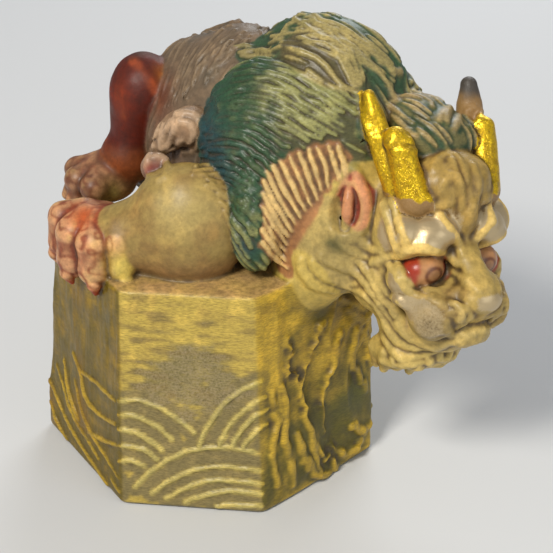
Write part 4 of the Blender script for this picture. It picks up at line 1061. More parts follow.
# paws
m = is_("fore_paw_right", "fore_paw_left", "hind_paw_right", "hind_paw_left")
pw = mixc(np.tile(np.array([0.55, 0.275, 0.175]), (NV, 1)), (0.56, 0.36, 0.18), S3(0.0, 0.6, n1))
curls = np.abs(fbm(V, 4.2, 61, 2))
pw = mixc(pw, (0.185, 0.036, 0.018), np.maximum(S3(-0.45, 0.2, cav_b + 0.3 * n2), S3(0.15, 0.05, curls) * 0.9))
pw = mixc(pw, (0.62, 0.40, 0.22), S3(-0.7, -1.4, cav_b + 0.3 * n2) * 0.6)
pw = mixc(pw, (0.50, 0.10, 0.03), near_to((-37, -17, 89), (4, 5, 4)) * 0.9)
pw = mixc(pw, (0.56, 0.42, 0.12), near_to((-24.5, -26, 76), (5, 5, 7)) * 1.2)
pw = mixc(pw, (0.38, 0.05, 0.02), S3(71, 67, V[:, 2]) * (V[:, 2] < 73))
hp = is_("hind_paw_right", "hind_paw_left")
pw2 = mixc(pw, (0.20, 0.11, 0.07), np.full(NV, 0.45) + 0.4 * n2)
pw2 = mixc(pw2, (0.50, 0.38, 0.13), near_to((-31, 15, 80), (4, 5, 5)))
col[m] = pw[m]; col[hp] = pw2[hp]
# mane
m = is_("mane_right", "mane_crest", "mane_left", "forelock") | ((((rset == SN("mane")) | (rset == SN("fill"))) & (rdist < 2.0)) & is_("torso", "neck"))
blue = near_to((-1, -15, 112), (10, 14, 7)) + near_to((3, -21, 103), (6, 9, 6)) + near_to((10, -33, 85), (5, 7, 4)) + near_to((-3, -6, 122), (9, 12, 6)) * 0.6
valley = mixc(np.tile(np.array([0.040, 0.092, 0.046]), (NV, 1)), (0.016, 0.060, 0.085), blue * 1.2)
valley = mixc(valley, (0.028, 0.040, 0.026), S3(0.2, 0.7, n2) * 0.6)
cream = S3(0.25, 0.75, near_to((33, -20, 128), (17, 16, 11)) + near_to((38, -28, 112), (14, 12, 12)) + near_to((33, -8, 141), (16, 9, 5)) + 0.35 * n1)
valley = mixc(valley, (0.150, 0.100, 0.045), cream * 0.80)
green = S3(0.25, 0.60, near_to((9, -15, 111), (31, 24, 27)) + 0.28 * n1) * (1 - 0.6 * cream)
strong = np.clip(0.92 + 0.25 * n1 + 0.2 * cream - 0.55 * green - 0.25 * np.clip(blue, 0, 1), 0.08, 1)
strong = strong * S3(-0.75, -0.15, fbm(V, 7.0, 91, 2) + 0.5 - 0.55 * green)
mn = mixc(valley, (0.44, 0.335, 0.140), S3(0.42, 0.92, ridge + 0.25 * n2 - 0.42 * green) * strong)
fl = mixc(np.tile(np.array([0.20, 0.18, 0.075]), (NV, 1)), (0.030, 0.075, 0.035), S3(-0.1, 0.5, cav_s + 0.6 * n2 - ridge))
fl = mixc(fl, (0.42, 0.31, 0.145), S3(0.3, 0.9, ridge))
fl = mixc(fl, (0.36, 0.25, 0.12), S3(0.1, 0.5, n1) * 0.6)
flm = is_("forelock") | (m & RS("curl") & (rdist < 3.0))
col[m] = mn[m]; col[flm] = fl[flm]
# ruff and ears
m = is_("cheek_ruff_right", "cheek_ruff_left")
rf = mixc(np.tile(np.array([0.34, 0.150, 0.068]), (NV, 1)), (0.19, 0.070, 0.030), S3(0, 0.6, n2) * 0.7)
rf = mixc(rf, (0.66, 0.43, 0.205), S3(0.10, 0.70, ridge + 0.25 * n2))
rf = mixc(rf, (0.40, 0.28, 0.11), np.where(RS("ruff"), S3(2.6, 4.0, rdist), 1.0))
col[m] = rf[m]
m = is_("ear_right", "ear_left")
er = mixc(np.tile(np.array([0.52, 0.32, 0.165]), (NV, 1)), (0.33, 0.085, 0.060), S3(-0.1, 0.5, cav_b))
er = mixc(er, (0.50, 0.22, 0.13), RS("ear") * S3(0.4, 0.0, rdist) * 0.6)
er = mixc(er, (0.30, 0.060, 0.045), S3(0.0, 0.9, cav_s) * 0.8)
col[m] = er[m]
# face
dark = near_to((38.6, -33.4, 87.4), (3.6, 4, 3.0)) + near_to((34.8, -22.5, 58.2), (4, 6, 4)) * 0.9
m = is_("head", "forehead", "muzzle", "lower_jaw", "beard", "brow_right", "brow_left")
fc = mixc(np.tile(np.array([0.45, 0.325, 0.125]), (NV, 1)), (0.30, 0.195, 0.085), S3(0.0, 0.6, n1) * 0.7)
fc = mixc(fc, (0.58, 0.43, 0.19), ridge * 0.6)
fc = mixc(fc, (0.62, 0.46, 0.21), S3(-0.4, -1.4, cav_s + 0.3 * n2) * 0.7)
fc = mixc(fc, (0.15, 0.090, 0.035), S3(0.0, 0.7, cav_s + 0.25 * n2) * 0.9)
fc = mixc(fc, (0.15, 0.10, 0.045), S3(0.3, 1.0, cav_b) * 0.75)
fc = mixc(fc, (0.22, 0.145, 0.055), S3(0.25, 0.8, n2) * 0.4)
col[m] = fc[m]
hl = np.stack([(V - HO) @ HF, (V - HO) @ HL, (V - HO) @ HU], 1)
def hnear(f, s, u, r):
    r = np.array(r, float)
    a = np.exp(-(((hl - np.array([f, s, u])) / r) ** 2).sum(1))
    b = np.exp(-(((hl - np.array([f, -s, u])) / r) ** 2).sum(1))
    return np.maximum(a, b)
wr = hnear(17, 11, 10, (8, 10.5, 7)) * 1.1 + hnear(24, 15, -16, (7, 6, 7)) + hnear(32, 0, -8, (4, 6, 3.5)) + hnear(13, 19, -6, (4, 4, 4)) + hnear(15, 18, -12, (4, 4, 4)) + hnear(7, 19, 7, (5, 4, 8)) + hnear(15, 0, 20, (6, 9, 6)) * 0.35 + hnear(18, 14, -10, (5, 5, 3.5)) * 0.7
wear[m] = (S3(0.35, 0.75, wr + 0.18 * n2) * S3(0.5, 0.0, ridge) * S3(0.9, 0.2, cav_s))[m]
wear[m] = (wear * (1 - 0.58 * hnear(24, 15, -16, (8, 7, 8))))[m]
col[m] = mixc(col, (0.20, 0.145, 0.085), hnear(24, 15, -16, (7, 6, 7)) * 0.95)[m]
# eyes
for side, sg in (("right", -1), ("left", 1)):
    m = is_("eye_" + side)
    e = hl - np.array([13.2, sg * 10.3, -3.2])
    q = np.stack([e[:, 0], sg * e[:, 1], e[:, 2]], 1)
    # across the eye from its outer corner (-1) to its inner corner (+1)
    across = (-q[:, 1] * 0.80 + q[:, 0] * 0.35 - 1.6) / 5.0
    ey = np.tile(np.array([0.52, 0.26, 0.11]), (NV, 1))
    pr = np.sqrt(((across - 0.02) * 5.0) ** 2 + ((q[:, 2] + 0.2)) ** 2)
    ey = mixc(ey, (0.15, 0.045, 0.02), S3(2.9, 2.4, pr) * S3(1.4, 1.9, pr))
    ey = mixc(ey, (0.36, 0.18, 0.08), S3(1.6, 1.2, pr))
    ey = mixc(ey, (0.40, 0.040, 0.016), np.maximum(S3(0.52, 0.76, across + 0.1 * n2), S3(-0.66, -0.92, across + 0.1 * n2)))
    col[m] = ey[m]
so = is_("head", "muzzle") & (hnear(16, 10.5, -3, (6, 8.5, 4.5)) > 0.45)
red = hnear(14, 17.0, -2.5, (4, 2.2, 2.6)) + hnear(19.5, 5.4, -3.6, (3, 1.8, 3.0))
col[so] = mixc(col, (0.42, 0.035, 0.014), S3(0.3, 0.8, red))[so]
# plinth
m = is_("plinth")
face = np.stack([(V - a_) @ nrm_ for a_, b_, nrm_, t_, L_ in PLANES], 1)
fi = face.argmax(1)
pl = mixc(np.tile(np.array([0.54, 0.375, 0.095]), (NV, 1)), (0.38, 0.25, 0.075), S3(-0.1, 0.6, n1) * 0.7)
patch = near_to((-3, -38, 48), (14, 9, 16)) + 0.8 * near_to((6, -40, 38), (11, 8, 9)) + near_to((-16, -36, 40), (9, 8, 8)) * 0.8
streaks = fbm(V * (0.35, 0.35, 1.9), 2.4, 51, 2)
grey = S3(0.26, 0.70, patch * 0.70 + 0.50 * streaks + 0.30 * n1 + 0.2 * n2)
pl = mixc(pl, (0.235, 0.180, 0.082), grey)
pl = mixc(pl, (0.23, 0.155, 0.060), S3(0.05, 0.5, streaks) * 0.75 * S3(24, 32, V[:, 2]))
inwave = (rset == NAMES.index("waves")) & (rdist < 2.9) & (hgt < 0.35)
pl = mixc(pl, (0.235, 0.175, 0.085), inwave * S3(0.15, 0.7, rdist) * S3(3.4, 2.4, rdist))
pl = mixc(pl, (0.53, 0.42, 0.17), (rset == NAMES.index("waves")) * S3(0.5, 0.0, rdist) * (0.8 + 0.3 * n2))
left = (fi == 0)
lf = mixc(pl, (0.150, 0.128, 0.040), (0.80 + 0.3 * n1 + 0.2 * fbm(V * (1, 1, 0.2), 2.0, 81, 2)) * S3(0.7, 0.1, ridge))
lf = mixc(lf, (0.30, 0.18, 0.075), S3(0.2, 0.7, n3) * 0.5)
right = (fi == 3) | (fi == 2)
rk = mixc(pl, (0.30, 0.205, 0.060), np.full(NV, 0.5))
rk = mixc(rk, (0.085, 0.075, 0.022), S3(-0.1, 0.7, 0.35 * n1 + 0.3 * n3 + 0.25 * n2 + 0.40 * cav_b + S3(50, 16, V[:, 2]) * 0.42 - ridge * 0.2))
rk = mixc(rk, (0.075, 0.080, 0.030), near_to((47, -14, 24), (7, 8, 7)) * 0.9)
rk = mixc(rk, (0.060, 0.062, 0.045), near_to((44, -24, 22), (4.5, 8, 5)) * 1.1)
pl = np.where(left[:, None], lf, pl)
pl = np.where(right[:, None], rk, pl)
other = (fi > 3)
pl = np.where(other[:, None], mixc(pl, (0.20, 0.16, 0.06), 0.35 + 0.4 * n1), pl)
top = (N[:, 2] > 0.75) & (V[:, 2] > 68)
pl = np.where(top[:, None], mixc(pl, (0.30, 0.185, 0.10), np.full(NV, 0.75) + 0.2 * n1), pl)
under = (hollow_v < 0.5) | (V[:, 2] < 0.6)
pl = np.where(under[:, None], mixc(np.tile(np.array([0.22, 0.19, 0.15]), (NV, 1)), (0.15, 0.13, 0.10), S3(0, 0.6, n1)), pl)
col[m] = pl[m]
wear[m] = np.maximum(wear, grey * 0.35 * (fi == 1))[m]
# horns: base colour only, the leaf is in their material
m = is_("horn_right", "horn_left")
col[m] = np.array([0.29, 0.165, 0.055])
hl0 = np.stack([(V - HO) @ HF, (V - HO) @ HL, (V - HO) @ HU], 1)
# the far rear tine has lost its leaf; elsewhere it is rubbed at the roots
bare = is_("horn_left") * S3(2.5, -1.0, hl0[:, 0] - 0.25 * (30 - hl0[:, 2]) * 0.4) * S3(24, 28, hl0[:, 2])
bare = np.maximum(bare, m * S3(19.5, 17.0, hl0[:, 2] + 1.5 * n2) * 0.9)
wear[m] = bare[m]
col[m] = mixc(col, (0.060, 0.050, 0.040), S3(39, 43, hl0[:, 2] + n2))[m]

dm = is_("head", "neck", "plinth", "cheek_ruff_right")
col[dm] = mixc(col, (0.11, 0.090, 0.035), dark * 1.1 + 0.35 * n2 * (dark > 0.15))[dm]
# the tint each part was given
TINT = {"plinth": (1.22, 1.27, 0.98), "cheek_ruff_right": (1.22, 1.28, 1.04), "cheek_ruff_left": (1.22, 1.28, 1.04), "ear_right": (1.35, 1.15, 0.95), "ear_left": (1.35, 1.15, 0.95),
        "head": (1.28, 1.27, 0.92), "muzzle": (1.14, 1.10, 0.78), "lower_jaw": (1.26, 1.25, 0.94), "beard": (1.3, 1.3, 0.92), "brow_right": (1.72, 1.62, 1.14), "brow_left": (1.72, 1.62, 1.14),
        "forehead": (0.98, 0.88, 0.55), "neck": (1.60, 1.60, 1.15), "hind_leg_right": (0.86, 0.38, 0.14), "hind_leg_left": (0.86, 0.38, 0.14), "torso": (0.80, 0.84, 0.80), "tail": (0.85, 0.85, 0.75),
        "fore_paw_right": (1.28, 1.28, 0.96), "fore_paw_left": (1.28, 1.28, 0.96), "hind_paw_right": (1.0, 0.98, 0.75), "hind_paw_left": (1.0, 0.98, 0.75), "foreleg_right": (1.1, 1.05, 0.82), "foreleg_left": (1.1, 1.05, 0.82),
        "mane_right": (0.74, 0.96, 0.80), "mane_crest": (1.0, 1.05, 0.9), "mane_left": (1.0, 1.05, 0.9), "forelock": (1.0, 1.0, 0.85)}
tint = np.ones((NV, 3))
for n_, v_ in TINT.items():
    tint[label == PID[n_]] = v_
tint[(label == 0) & top] = (1.75, 1.75, 1.4)
tint[(label == 0) & right & ~top] = (1.55, 1.47, 0.48)
tint[(label == 0) & left & ~top] = (1.03, 0.86, 0.16)
for _ in range(4):
    tint = 0.5 * tint + 0.5 * spread(tint)
col = col * tint
# grime in every crease, rubbed tops
col = mixc(col, (0.075, 0.050, 0.028), S3(0.40, 1.25, cav_s) * 0.75 * (~is_("horn_right", "horn_left")))
raw = col.copy()
for _ in range(2):
    col = 0.5 * col + 0.5 * spread(col)
    wear = 0.5 * wear + 0.5 * spread(wear)[:, 0]
print("paint", round(time.time() - T0, 1), "s")

# ------------------------------------------------------------------ materials
SLOT = {n: s for s, ns in {
    "plinth_paint": ["plinth"],
    "body_paint": ["torso", "neck", "foreleg_right", "foreleg_left", "tail"],
    "face_paint": ["head", "forehead", "muzzle", "lower_jaw", "beard", "brow_right", "brow_left"],
    "mane_paint": ["mane_right", "mane_crest", "mane_left", "forelock"],
    "ruff_paint": ["cheek_ruff_right", "cheek_ruff_left", "ear_right", "ear_left", "shoulder_curl_right", "shoulder_curl_left"],
    "gilt": ["horn_right", "horn_left"],
    "eye_paint": ["eye_right", "eye_left"],
    "paw_paint": ["fore_paw_right", "fore_paw_left", "hind_paw_right", "hind_paw_left"],
    "haunch_paint": ["hind_leg_right", "hind_leg_left"]}.items() for n in ns}


def nodes_of(name):
    mat = bpy.data.materials.new(name)
    mat.use_nodes = True
    nt = mat.node_tree
    return mat, nt, nt.nodes["Principled BSDF"]


def add(nt, kind, **kw):
    n = nt.nodes.new(kind)
    for k, v in kw.items():
        if k in n.inputs:
            n.inputs[k].default_value = v
        else:
            setattr(n, k, v)
    return n


def paint_material(name, rough=0.42, coat=0.12, streak=(1.0, 1.0, 1.0), streak_amt=0.25, grain=0.25, bump=0.25, bare=(0.43, 0.335, 0.195, 1)):
    """Cold paint over a grey body: brushed colour, dabs, specks, and a burnished grey where it is rubbed."""
    mat, nt, bs = nodes_of(name)
    L = nt.links.new
    tc = add(nt, "ShaderNodeTexCoord")
    paint = add(nt, "ShaderNodeAttribute", attribute_name="paint")
    wr_ = add(nt, "ShaderNodeAttribute", attribute_name="wear")
    cv_ = add(nt, "ShaderNodeAttribute", attribute_name="cavity")
    mp = add(nt, "ShaderNodeMapping")
    mp.inputs["Scale"].default_value = streak
    L(tc.outputs["Object"], mp.inputs["Vector"])
    brush = add(nt, "ShaderNodeTexNoise", Scale=620.0, Detail=4.0, Roughness=0.62)
    L(mp.outputs[0], brush.inputs["Vector"])
    fine = add(nt, "ShaderNodeTexNoise", Scale=1500.0, Detail=3.0, Roughness=0.6)
    L(tc.outputs["Object"], fine.inputs["Vector"])
    blot = add(nt, "ShaderNodeTexNoise", Scale=170.0, Detail=3.0, Roughness=0.55)
    L(tc.outputs["Object"], blot.inputs["Vector"])
    # brushed dark wash
    r1 = add(nt, "ShaderNodeValToRGB")
    r1.color_ramp.elements[0].position = 0.36; r1.color_ramp.elements[1].position = 0.62
    r1.color_ramp.elements[0].color = (0, 0, 0, 1); r1.color_ramp.elements[1].color = (1, 1, 1, 1)
    L(brush.outputs["Fac"], r1.inputs[0])
    dark = add(nt, "ShaderNodeMixRGB", blend_type="MULTIPLY")
    dark.inputs[0].default_value = streak_amt
    L(paint.outputs["Color"], dark.inputs[1])
    L(r1.outputs[0], dark.inputs[2])
    # blotches of a lighter coat
    r2 = add(nt, "ShaderNodeValToRGB")
    r2.color_ramp.elements[0].position = 0.50; r2.color_ramp.elements[1].position = 0.72
    r2.color_ramp.elements[0].color = (0.86, 0.86, 0.86, 1); r2.color_ramp.elements[1].color = (1.22, 1.18, 1.12, 1)
    L(blot.outputs["Fac"], r2.inputs[0])
    lit = add(nt, "ShaderNodeMixRGB", blend_type="MULTIPLY"); lit.inputs[0].default_value = 1.0
    L(dark.outputs[0], lit.inputs[1]); L(r2.outputs[0], lit.inputs[2])
    # specks
    r3 = add(nt, "ShaderNodeValToRGB")
    r3.color_ramp.elements[0].position = 0.30; r3.color_ramp.elements[1].position = 0.42
    r3.color_ramp.elements[0].color = (0.55, 0.50, 0.42, 1); r3.color_ramp.elements[1].color = (1, 1, 1, 1)
    L(fine.outputs["Fac"], r3.inputs[0])
    spk = add(nt, "ShaderNodeMixRGB", blend_type="MULTIPLY"); spk.inputs[0].default_value = grain
    L(lit.outputs[0], spk.inputs[1]); L(r3.outputs[0], spk.inputs[2])
    # rubbed through to the burnished grey body
    ma = add(nt, "ShaderNodeMath", operation="MULTIPLY_ADD"); ma.inputs[1].default_value = 0.9; ma.inputs[2].default_value = -0.45
    L(fine.outputs["Fac"], ma.inputs[0])
    mb = add(nt, "ShaderNodeMath", operation="ADD"); L(ma.outputs[0], mb.inputs[0]); L(wr_.outputs["Fac"], mb.inputs[1])
    mc = add(nt, "ShaderNodeMapRange"); mc.inputs[1].default_value = 0.25; mc.inputs[2].default_value = 0.75
    L(mb.outputs[0], mc.inputs[0])
    base = add(nt, "ShaderNodeMixRGB", blend_type="MIX")
    base.inputs[2].default_value = bare
    L(mc.outputs[0], base.inputs[0]); L(spk.outputs[0], base.inputs[1])
    L(base.outputs[0], bs.inputs["Base Color"])
    # gloss
    rr = add(nt, "ShaderNodeMapRange"); rr.inputs[1].default_value = 0.3; rr.inputs[2].default_value = 0.7
    rr.inputs[3].default_value = rough - 0.09; rr.inputs[4].default_value = rough + 0.14
    L(blot.outputs["Fac"], rr.inputs[0])
    rm = add(nt, "ShaderNodeMix", data_type="FLOAT")
    rm.inputs["B"].default_value = 0.36
    L(mc.outputs[0], rm.inputs["Factor"]); L(rr.outputs[0], rm.inputs["A"])
    L(rm.outputs["Result"], bs.inputs["Roughness"])
    me_ = add(nt, "ShaderNodeMath", operation="MULTIPLY"); me_.inputs[1].default_value = 0.60
    L(mc.outputs[0], me_.inputs[0]); L(me_.outputs[0], bs.inputs["Metallic"])
    bs.inputs["Specular IOR Level"].default_value = 0.38
    bs.inputs["Coat Weight"].default_value = coat
    bs.inputs["Coat Roughness"].default_value = 0.28
    # tooth of the paint
    b1 = add(nt, "ShaderNodeBump"); b1.inputs["Strength"].default_value = bump; b1.inputs["Distance"].default_value = 0.00025
    hm = add(nt, "ShaderNodeMath", operation="ADD"); L(brush.outputs["Fac"], hm.inputs[0]); L(fine.outputs["Fac"], hm.inputs[1])
    L(hm.outputs[0], b1.inputs["Height"]); L(b1.outputs[0], bs.inputs["Normal"])
    return mat


def gilt_material():
    """Crackled gold leaf over red-brown size, rubbed dark in its cracks."""
    mat, nt, bs = nodes_of("gilt_leaf")
    L = nt.links.new
    tc = add(nt, "ShaderNodeTexCoord")
    cv_ = add(nt, "ShaderNodeAttribute", attribute_name="cavity")
    wob = add(nt, "ShaderNodeTexNoise", Scale=900.0, Detail=2.0)
    L(tc.outputs["Object"], wob.inputs["Vector"])
    vm = add(nt, "ShaderNodeMixRGB", blend_type="LINEAR_LIGHT"); vm.inputs[0].default_value = 0.0006
    L(tc.outputs["Object"], vm.inputs[1]); L(wob.outputs["Color"], vm.inputs[2])
    vo = add(nt, "ShaderNodeTexVoronoi", feature="DISTANCE_TO_EDGE", Scale=950.0)
    L(vm.outputs[0], vo.inputs["Vector"])
    cr = add(nt, "ShaderNodeValToRGB")
    cr.color_ramp.elements[0].position = 0.02; cr.color_ramp.elements[1].position = 0.10
    cr.color_ramp.elements[0].color = (0, 0, 0, 1); cr.color_ramp.elements[1].color = (1, 1, 1, 1)
    L(vo.outputs["Distance"], cr.inputs[0])
    big = add(nt, "ShaderNodeTexNoise", Scale=420.0, Detail=4.0, Roughness=0.7)
    L(tc.outputs["Object"], big.inputs["Vector"])
    pr_ = add(nt, "ShaderNodeValToRGB")
    pr_.color_ramp.elements[0].position = 0.38; pr_.color_ramp.elements[1].position = 0.52
    L(big.outputs["Fac"], pr_.inputs[0])
    gold = add(nt, "ShaderNodeMixRGB", blend_type="MIX")
    gold.inputs[1].default_value = (0.52, 0.31, 0.014, 1); gold.inputs[2].default_value = (0.80, 0.52, 0.015, 1)
    L(pr_.outputs[0], gold.inputs[0])
    crk = add(nt, "ShaderNodeMixRGB", blend_type="MIX")
    crk.inputs[1].default_value = (0.20, 0.13, 0.020, 1)
    fm = add(nt, "ShaderNodeMath", operation="MULTIPLY_ADD"); fm.inputs[1].default_value = 0.38; fm.inputs[2].default_value = 0.62
    L(cr.outputs[0], fm.inputs[0])
    L(fm.outputs[0], crk.inputs[0]); L(gold.outputs[0], crk.inputs[2])
    gr = add(nt, "ShaderNodeMapRange"); gr.inputs[1].default_value = 0.1; gr.inputs[2].default_value = 1.2
    L(cv_.outputs["Fac"], gr.inputs[0])
    gd = add(nt, "ShaderNodeMixRGB", blend_type="MIX"); gd.inputs[2].default_value = (0.12, 0.07, 0.02, 1)
    L(gr.outputs[0], gd.inputs[0]); L(crk.outputs[0], gd.inputs[1])
    clay = add(nt, "ShaderNodeAttribute", attribute_name="paint")
    gone = add(nt, "ShaderNodeAttribute", attribute_name="wear")
    g2 = add(nt, "ShaderNodeMath", operation="MULTIPLY_ADD"); g2.inputs[1].default_value = 0.5; g2.inputs[2].default_value = -0.25
    L(big.outputs["Fac"], g2.inputs[0])
    g3 = add(nt, "ShaderNodeMath", operation="ADD"); L(g2.outputs[0], g3.inputs[0]); L(gone.outputs["Fac"], g3.inputs[1])
    g4 = add(nt, "ShaderNodeMapRange"); g4.inputs[1].default_value = 0.35; g4.inputs[2].default_value = 0.6
    L(g3.outputs[0], g4.inputs[0])
    fin = add(nt, "ShaderNodeMixRGB", blend_type="MIX")
    L(g4.outputs[0], fin.inputs[0]); L(gd.outputs[0], fin.inputs[1]); L(clay.outputs["Color"], fin.inputs[2])
    L(fin.outputs[0], bs.inputs["Base Color"])
    g5 = add(nt, "ShaderNodeMath", operation="MULTIPLY_ADD"); g5.inputs[1].default_value = -0.72; g5.inputs[2].default_value = 0.72
    L(g4.outputs[0], g5.inputs[0]); L(g5.outputs[0], bs.inputs["Metallic"])
    g6 = add(nt, "ShaderNodeMath", operation="MULTIPLY_ADD"); g6.inputs[1].default_value = 0.15; g6.inputs[2].default_value = 0.32
    L(g4.outputs[0], g6.inputs[0]); L(g6.outputs[0], bs.inputs["Roughness"])
    bp = add(nt, "ShaderNodeBump"); bp.inputs["Strength"].default_value = 0.45; bp.inputs["Distance"].default_value = 0.0003
    hm = add(nt, "ShaderNodeMath", operation="MULTIPLY_ADD"); hm.inputs[1].default_value = 0.5
    L(cr.outputs[0], hm.inputs[0]); L(big.outputs["Fac"], hm.inputs[2])
    L(hm.outputs[0], bp.inputs["Height"]); L(bp.outputs[0], bs.inputs["Normal"])
    return mat


MATS = {
    "plinth_paint": paint_material("plinth_ochre", 0.46, 0.08, (1, 1, 5.5), 0.42, 0.45, 0.35),
    "body_paint": paint_material("body_ochre", 0.50, 0.05, (1, 1, 1), 0.22, 0.22, 0.20),
    "face_paint": paint_material("face_ochre", 0.45, 0.08, (1, 1, 1), 0.25, 0.25, 0.20, bare=(0.53, 0.41, 0.235, 1)),
    "mane_paint": paint_material("mane_green", 0.44, 0.12, (1.6, 1.6, 3.0), 0.35, 0.35, 0.30),
    "ruff_paint": paint_material("ruff_red_brown", 0.46, 0.10, (1, 1, 1), 0.25, 0.30, 0.25),
    "paw_paint": paint_material("paw_pink", 0.46, 0.06, (1, 1, 1), 0.28, 0.30, 0.22),
    "haunch_paint": paint_material("haunch_red", 0.56, 0.0, (1, 1, 1), 0.25, 0.25, 0.2),
    "eye_paint": paint_material("eye_enamel", 0.34, 0.20, (1, 1, 1), 0.10, 0.10, 0.08),
    "gilt": gilt_material(),
}

# --------------------------------------------------------------------- pieces
flabel = label[F]
fl_ = np.where(flabel[:, 0] == flabel[:, 2], flabel[:, 0], flabel[:, 1])
facecen = V[F].mean(1)


def build(name):
    pid = PID[name]
    keep = np.flatnonzero(fl_ == pid)
    if not len(keep):
        print("EMPTY", name)
        return None
    f = F[keep]
    # drop crumbs: parts of the patch that are not joined to its largest part
    used = np.unique(f)
    remap = np.full(NV, -1); remap[used] = np.arange(len(used))
    f = remap[f]
    comp = np.arange(len(used))
    e = np.concatenate([f[:, [0, 1]], f[:, [1, 2]], f[:, [2, 3]], f[:, [3, 0]]])
    for _ in range(400):
        old = comp.copy()
        np.minimum.at(comp, e[:, 0], comp[e[:, 1]])
        np.minimum.at(comp, e[:, 1], comp[e[:, 0]])
        comp = comp[comp]
        if (comp == old).all():
            break
    return used, f, comp


def inside(P):
    """Below 0 inside the clay."""
    h = P[:, 2] - 64.0
    for a_, b_, nrm_, t_, L_ in PLANES:
        h = np.maximum(h, (P - a_) @ nrm_ + 7.5)
    return np.maximum(skin(P), -h)


def best_apex(Pr, Nr, back, Po, No):
    """A point inside the figure from which the whole rim can be reached without leaving it."""
    rs = np.random.RandomState(3)
    c = Pr.mean(0)
    size = np.linalg.norm(Pr - c, axis=1).max()
    if size < 1.6:
        return (back - Nr * 0.3).mean(0)
    pick = rs.randint(0, len(Po), 14)
    cand = np.concatenate([[c, c - Nr.mean(0) * 0.25 * size, c - Nr.mean(0) * 0.5 * size],
                           Po[pick] - No[pick] * rs.uniform(0.15, 0.7, (14, 1)) * min(size, 26.0),
                           0.5 * (c + Po[pick[:7]] - No[pick[:7]] * 0.3 * min(size, 26.0))])
    g = inside(cand)
    cand = cand[g < max(-1.0, g.min() * 0.5)] if (g < -0.3).any() else cand[[g.argmin()]]
    s_ = rs.permutation(len(back))[:70]
    t = np.array([0.08, 0.2, 0.35, 0.5, 0.7, 0.88])
    segs = back[None, s_, None] + (cand[:, None, None] - back[None, s_, None]) * t[None, None, :, None]
    d = inside(segs.reshape(-1, 3)).reshape(len(cand), len(s_), len(t))
    cost = (np.maximum(d + 0.25, 0)).sum((1, 2))
    if cost.min() > 2:
        LEAK.append((round(float(cost.min()), 1), np.round(c, 0).tolist(), len(Pr)))
    return cand[cost.argmin()]


LEAK = []


def thin_out(f, P, pc, pw_, pv, pn, flat):
    """Merge the small faces of plain walls into large ones."""
    idx = np.flatnonzero(flat)
    key = np.concatenate([np.floor(P[idx] / 2.6), np.round(pn[idx] * 1.3)], 1).astype(int)
    _, inv = np.unique(key, axis=0, return_inverse=True)
    inv = inv.ravel()
    n, m = len(P), inv.max() + 1
    cnt = np.bincount(inv, minlength=m)
    mean = lambda A: np.stack([np.bincount(inv, A[idx, k], m) / cnt for k in range(A.shape[1])], 1)
    go = np.arange(n); go[idx] = n + inv
    P2 = np.concatenate([P, mean(P)]); c2 = np.concatenate([pc, mean(pc)])
    w2 = np.concatenate([pw_, mean(pw_[:, None])[:, 0]]); v2 = np.concatenate([pv, mean(pv[:, None])[:, 0]])
    n2_ = mean(pn); n2_ /= np.maximum(np.linalg.norm(n2_, axis=1, keepdims=True), 1e-9)
    N2 = np.concatenate([pn, n2_])
    q = go[f]
    same = np.stack([q[:, k] == q[:, (k + 1) % 4] for k in range(4)], 1)
    quad = q[(same.sum(1) == 0) & (q[:, 0] != q[:, 2]) & (q[:, 1] != q[:, 3])]
    t = q[(same.sum(1) == 1)]; st = same[same.sum(1) == 1].argmax(1)
    # turn each so that the doubled corner comes last
    t = np.stack([t[np.arange(len(t)), (st + 2 + k) % 4] for k in range(3)], 1) if len(t) else np.zeros((0, 3), int)
    t = t[(t[:, 0] != t[:, 1]) & (t[:, 1] != t[:, 2]) & (t[:, 0] != t[:, 2])]
    _, u = np.unique(np.sort(t, 1), axis=0, return_index=True)
    t = t[np.sort(u)]
    f2 = np.concatenate([quad, np.concatenate([t, t[:, 2:]], 1)])
    keep = np.unique(f2)
    new = np.full(len(P2), -1); new[keep] = np.arange(len(keep))
    return new[f2], P2[keep], c2[keep], w2[keep], v2[keep], N2[keep]


for rounds in range(2):
    # crumbs go to the neighbour that surrounds them
    moved = 0
    for name in PIECES:
        pid = PID[name]
        keep = np.flatnonzero(fl_ == pid)
        if not len(keep):
            continue
        used, f, comp = build(name)
        cf = comp[f[:, 0]]
        ids_, cnt_ = np.unique(cf, return_counts=True)
        small = ids_[cnt_ < max(60, 0.02 * cnt_.max())]
        if len(small) == 0:
            continue
        bad = keep[np.isin(cf, small)]
        # take the label of any neighbouring face
        vv = np.full(NV, -1)
        outside = fl_ != pid
        vv[F[outside].ravel()] = np.repeat(fl_[outside], 4)
        for _ in range(12):
            cand = vv[F[bad]].max(1)
            okc = cand >= 0
            fl_[bad[okc]] = cand[okc]
            vv[F[bad[okc]].ravel()] = np.repeat(cand[okc], 4)
            moved += int(okc.sum())
            bad = bad[~okc]
            if not len(bad):
                break
    print("crumbs moved", moved)

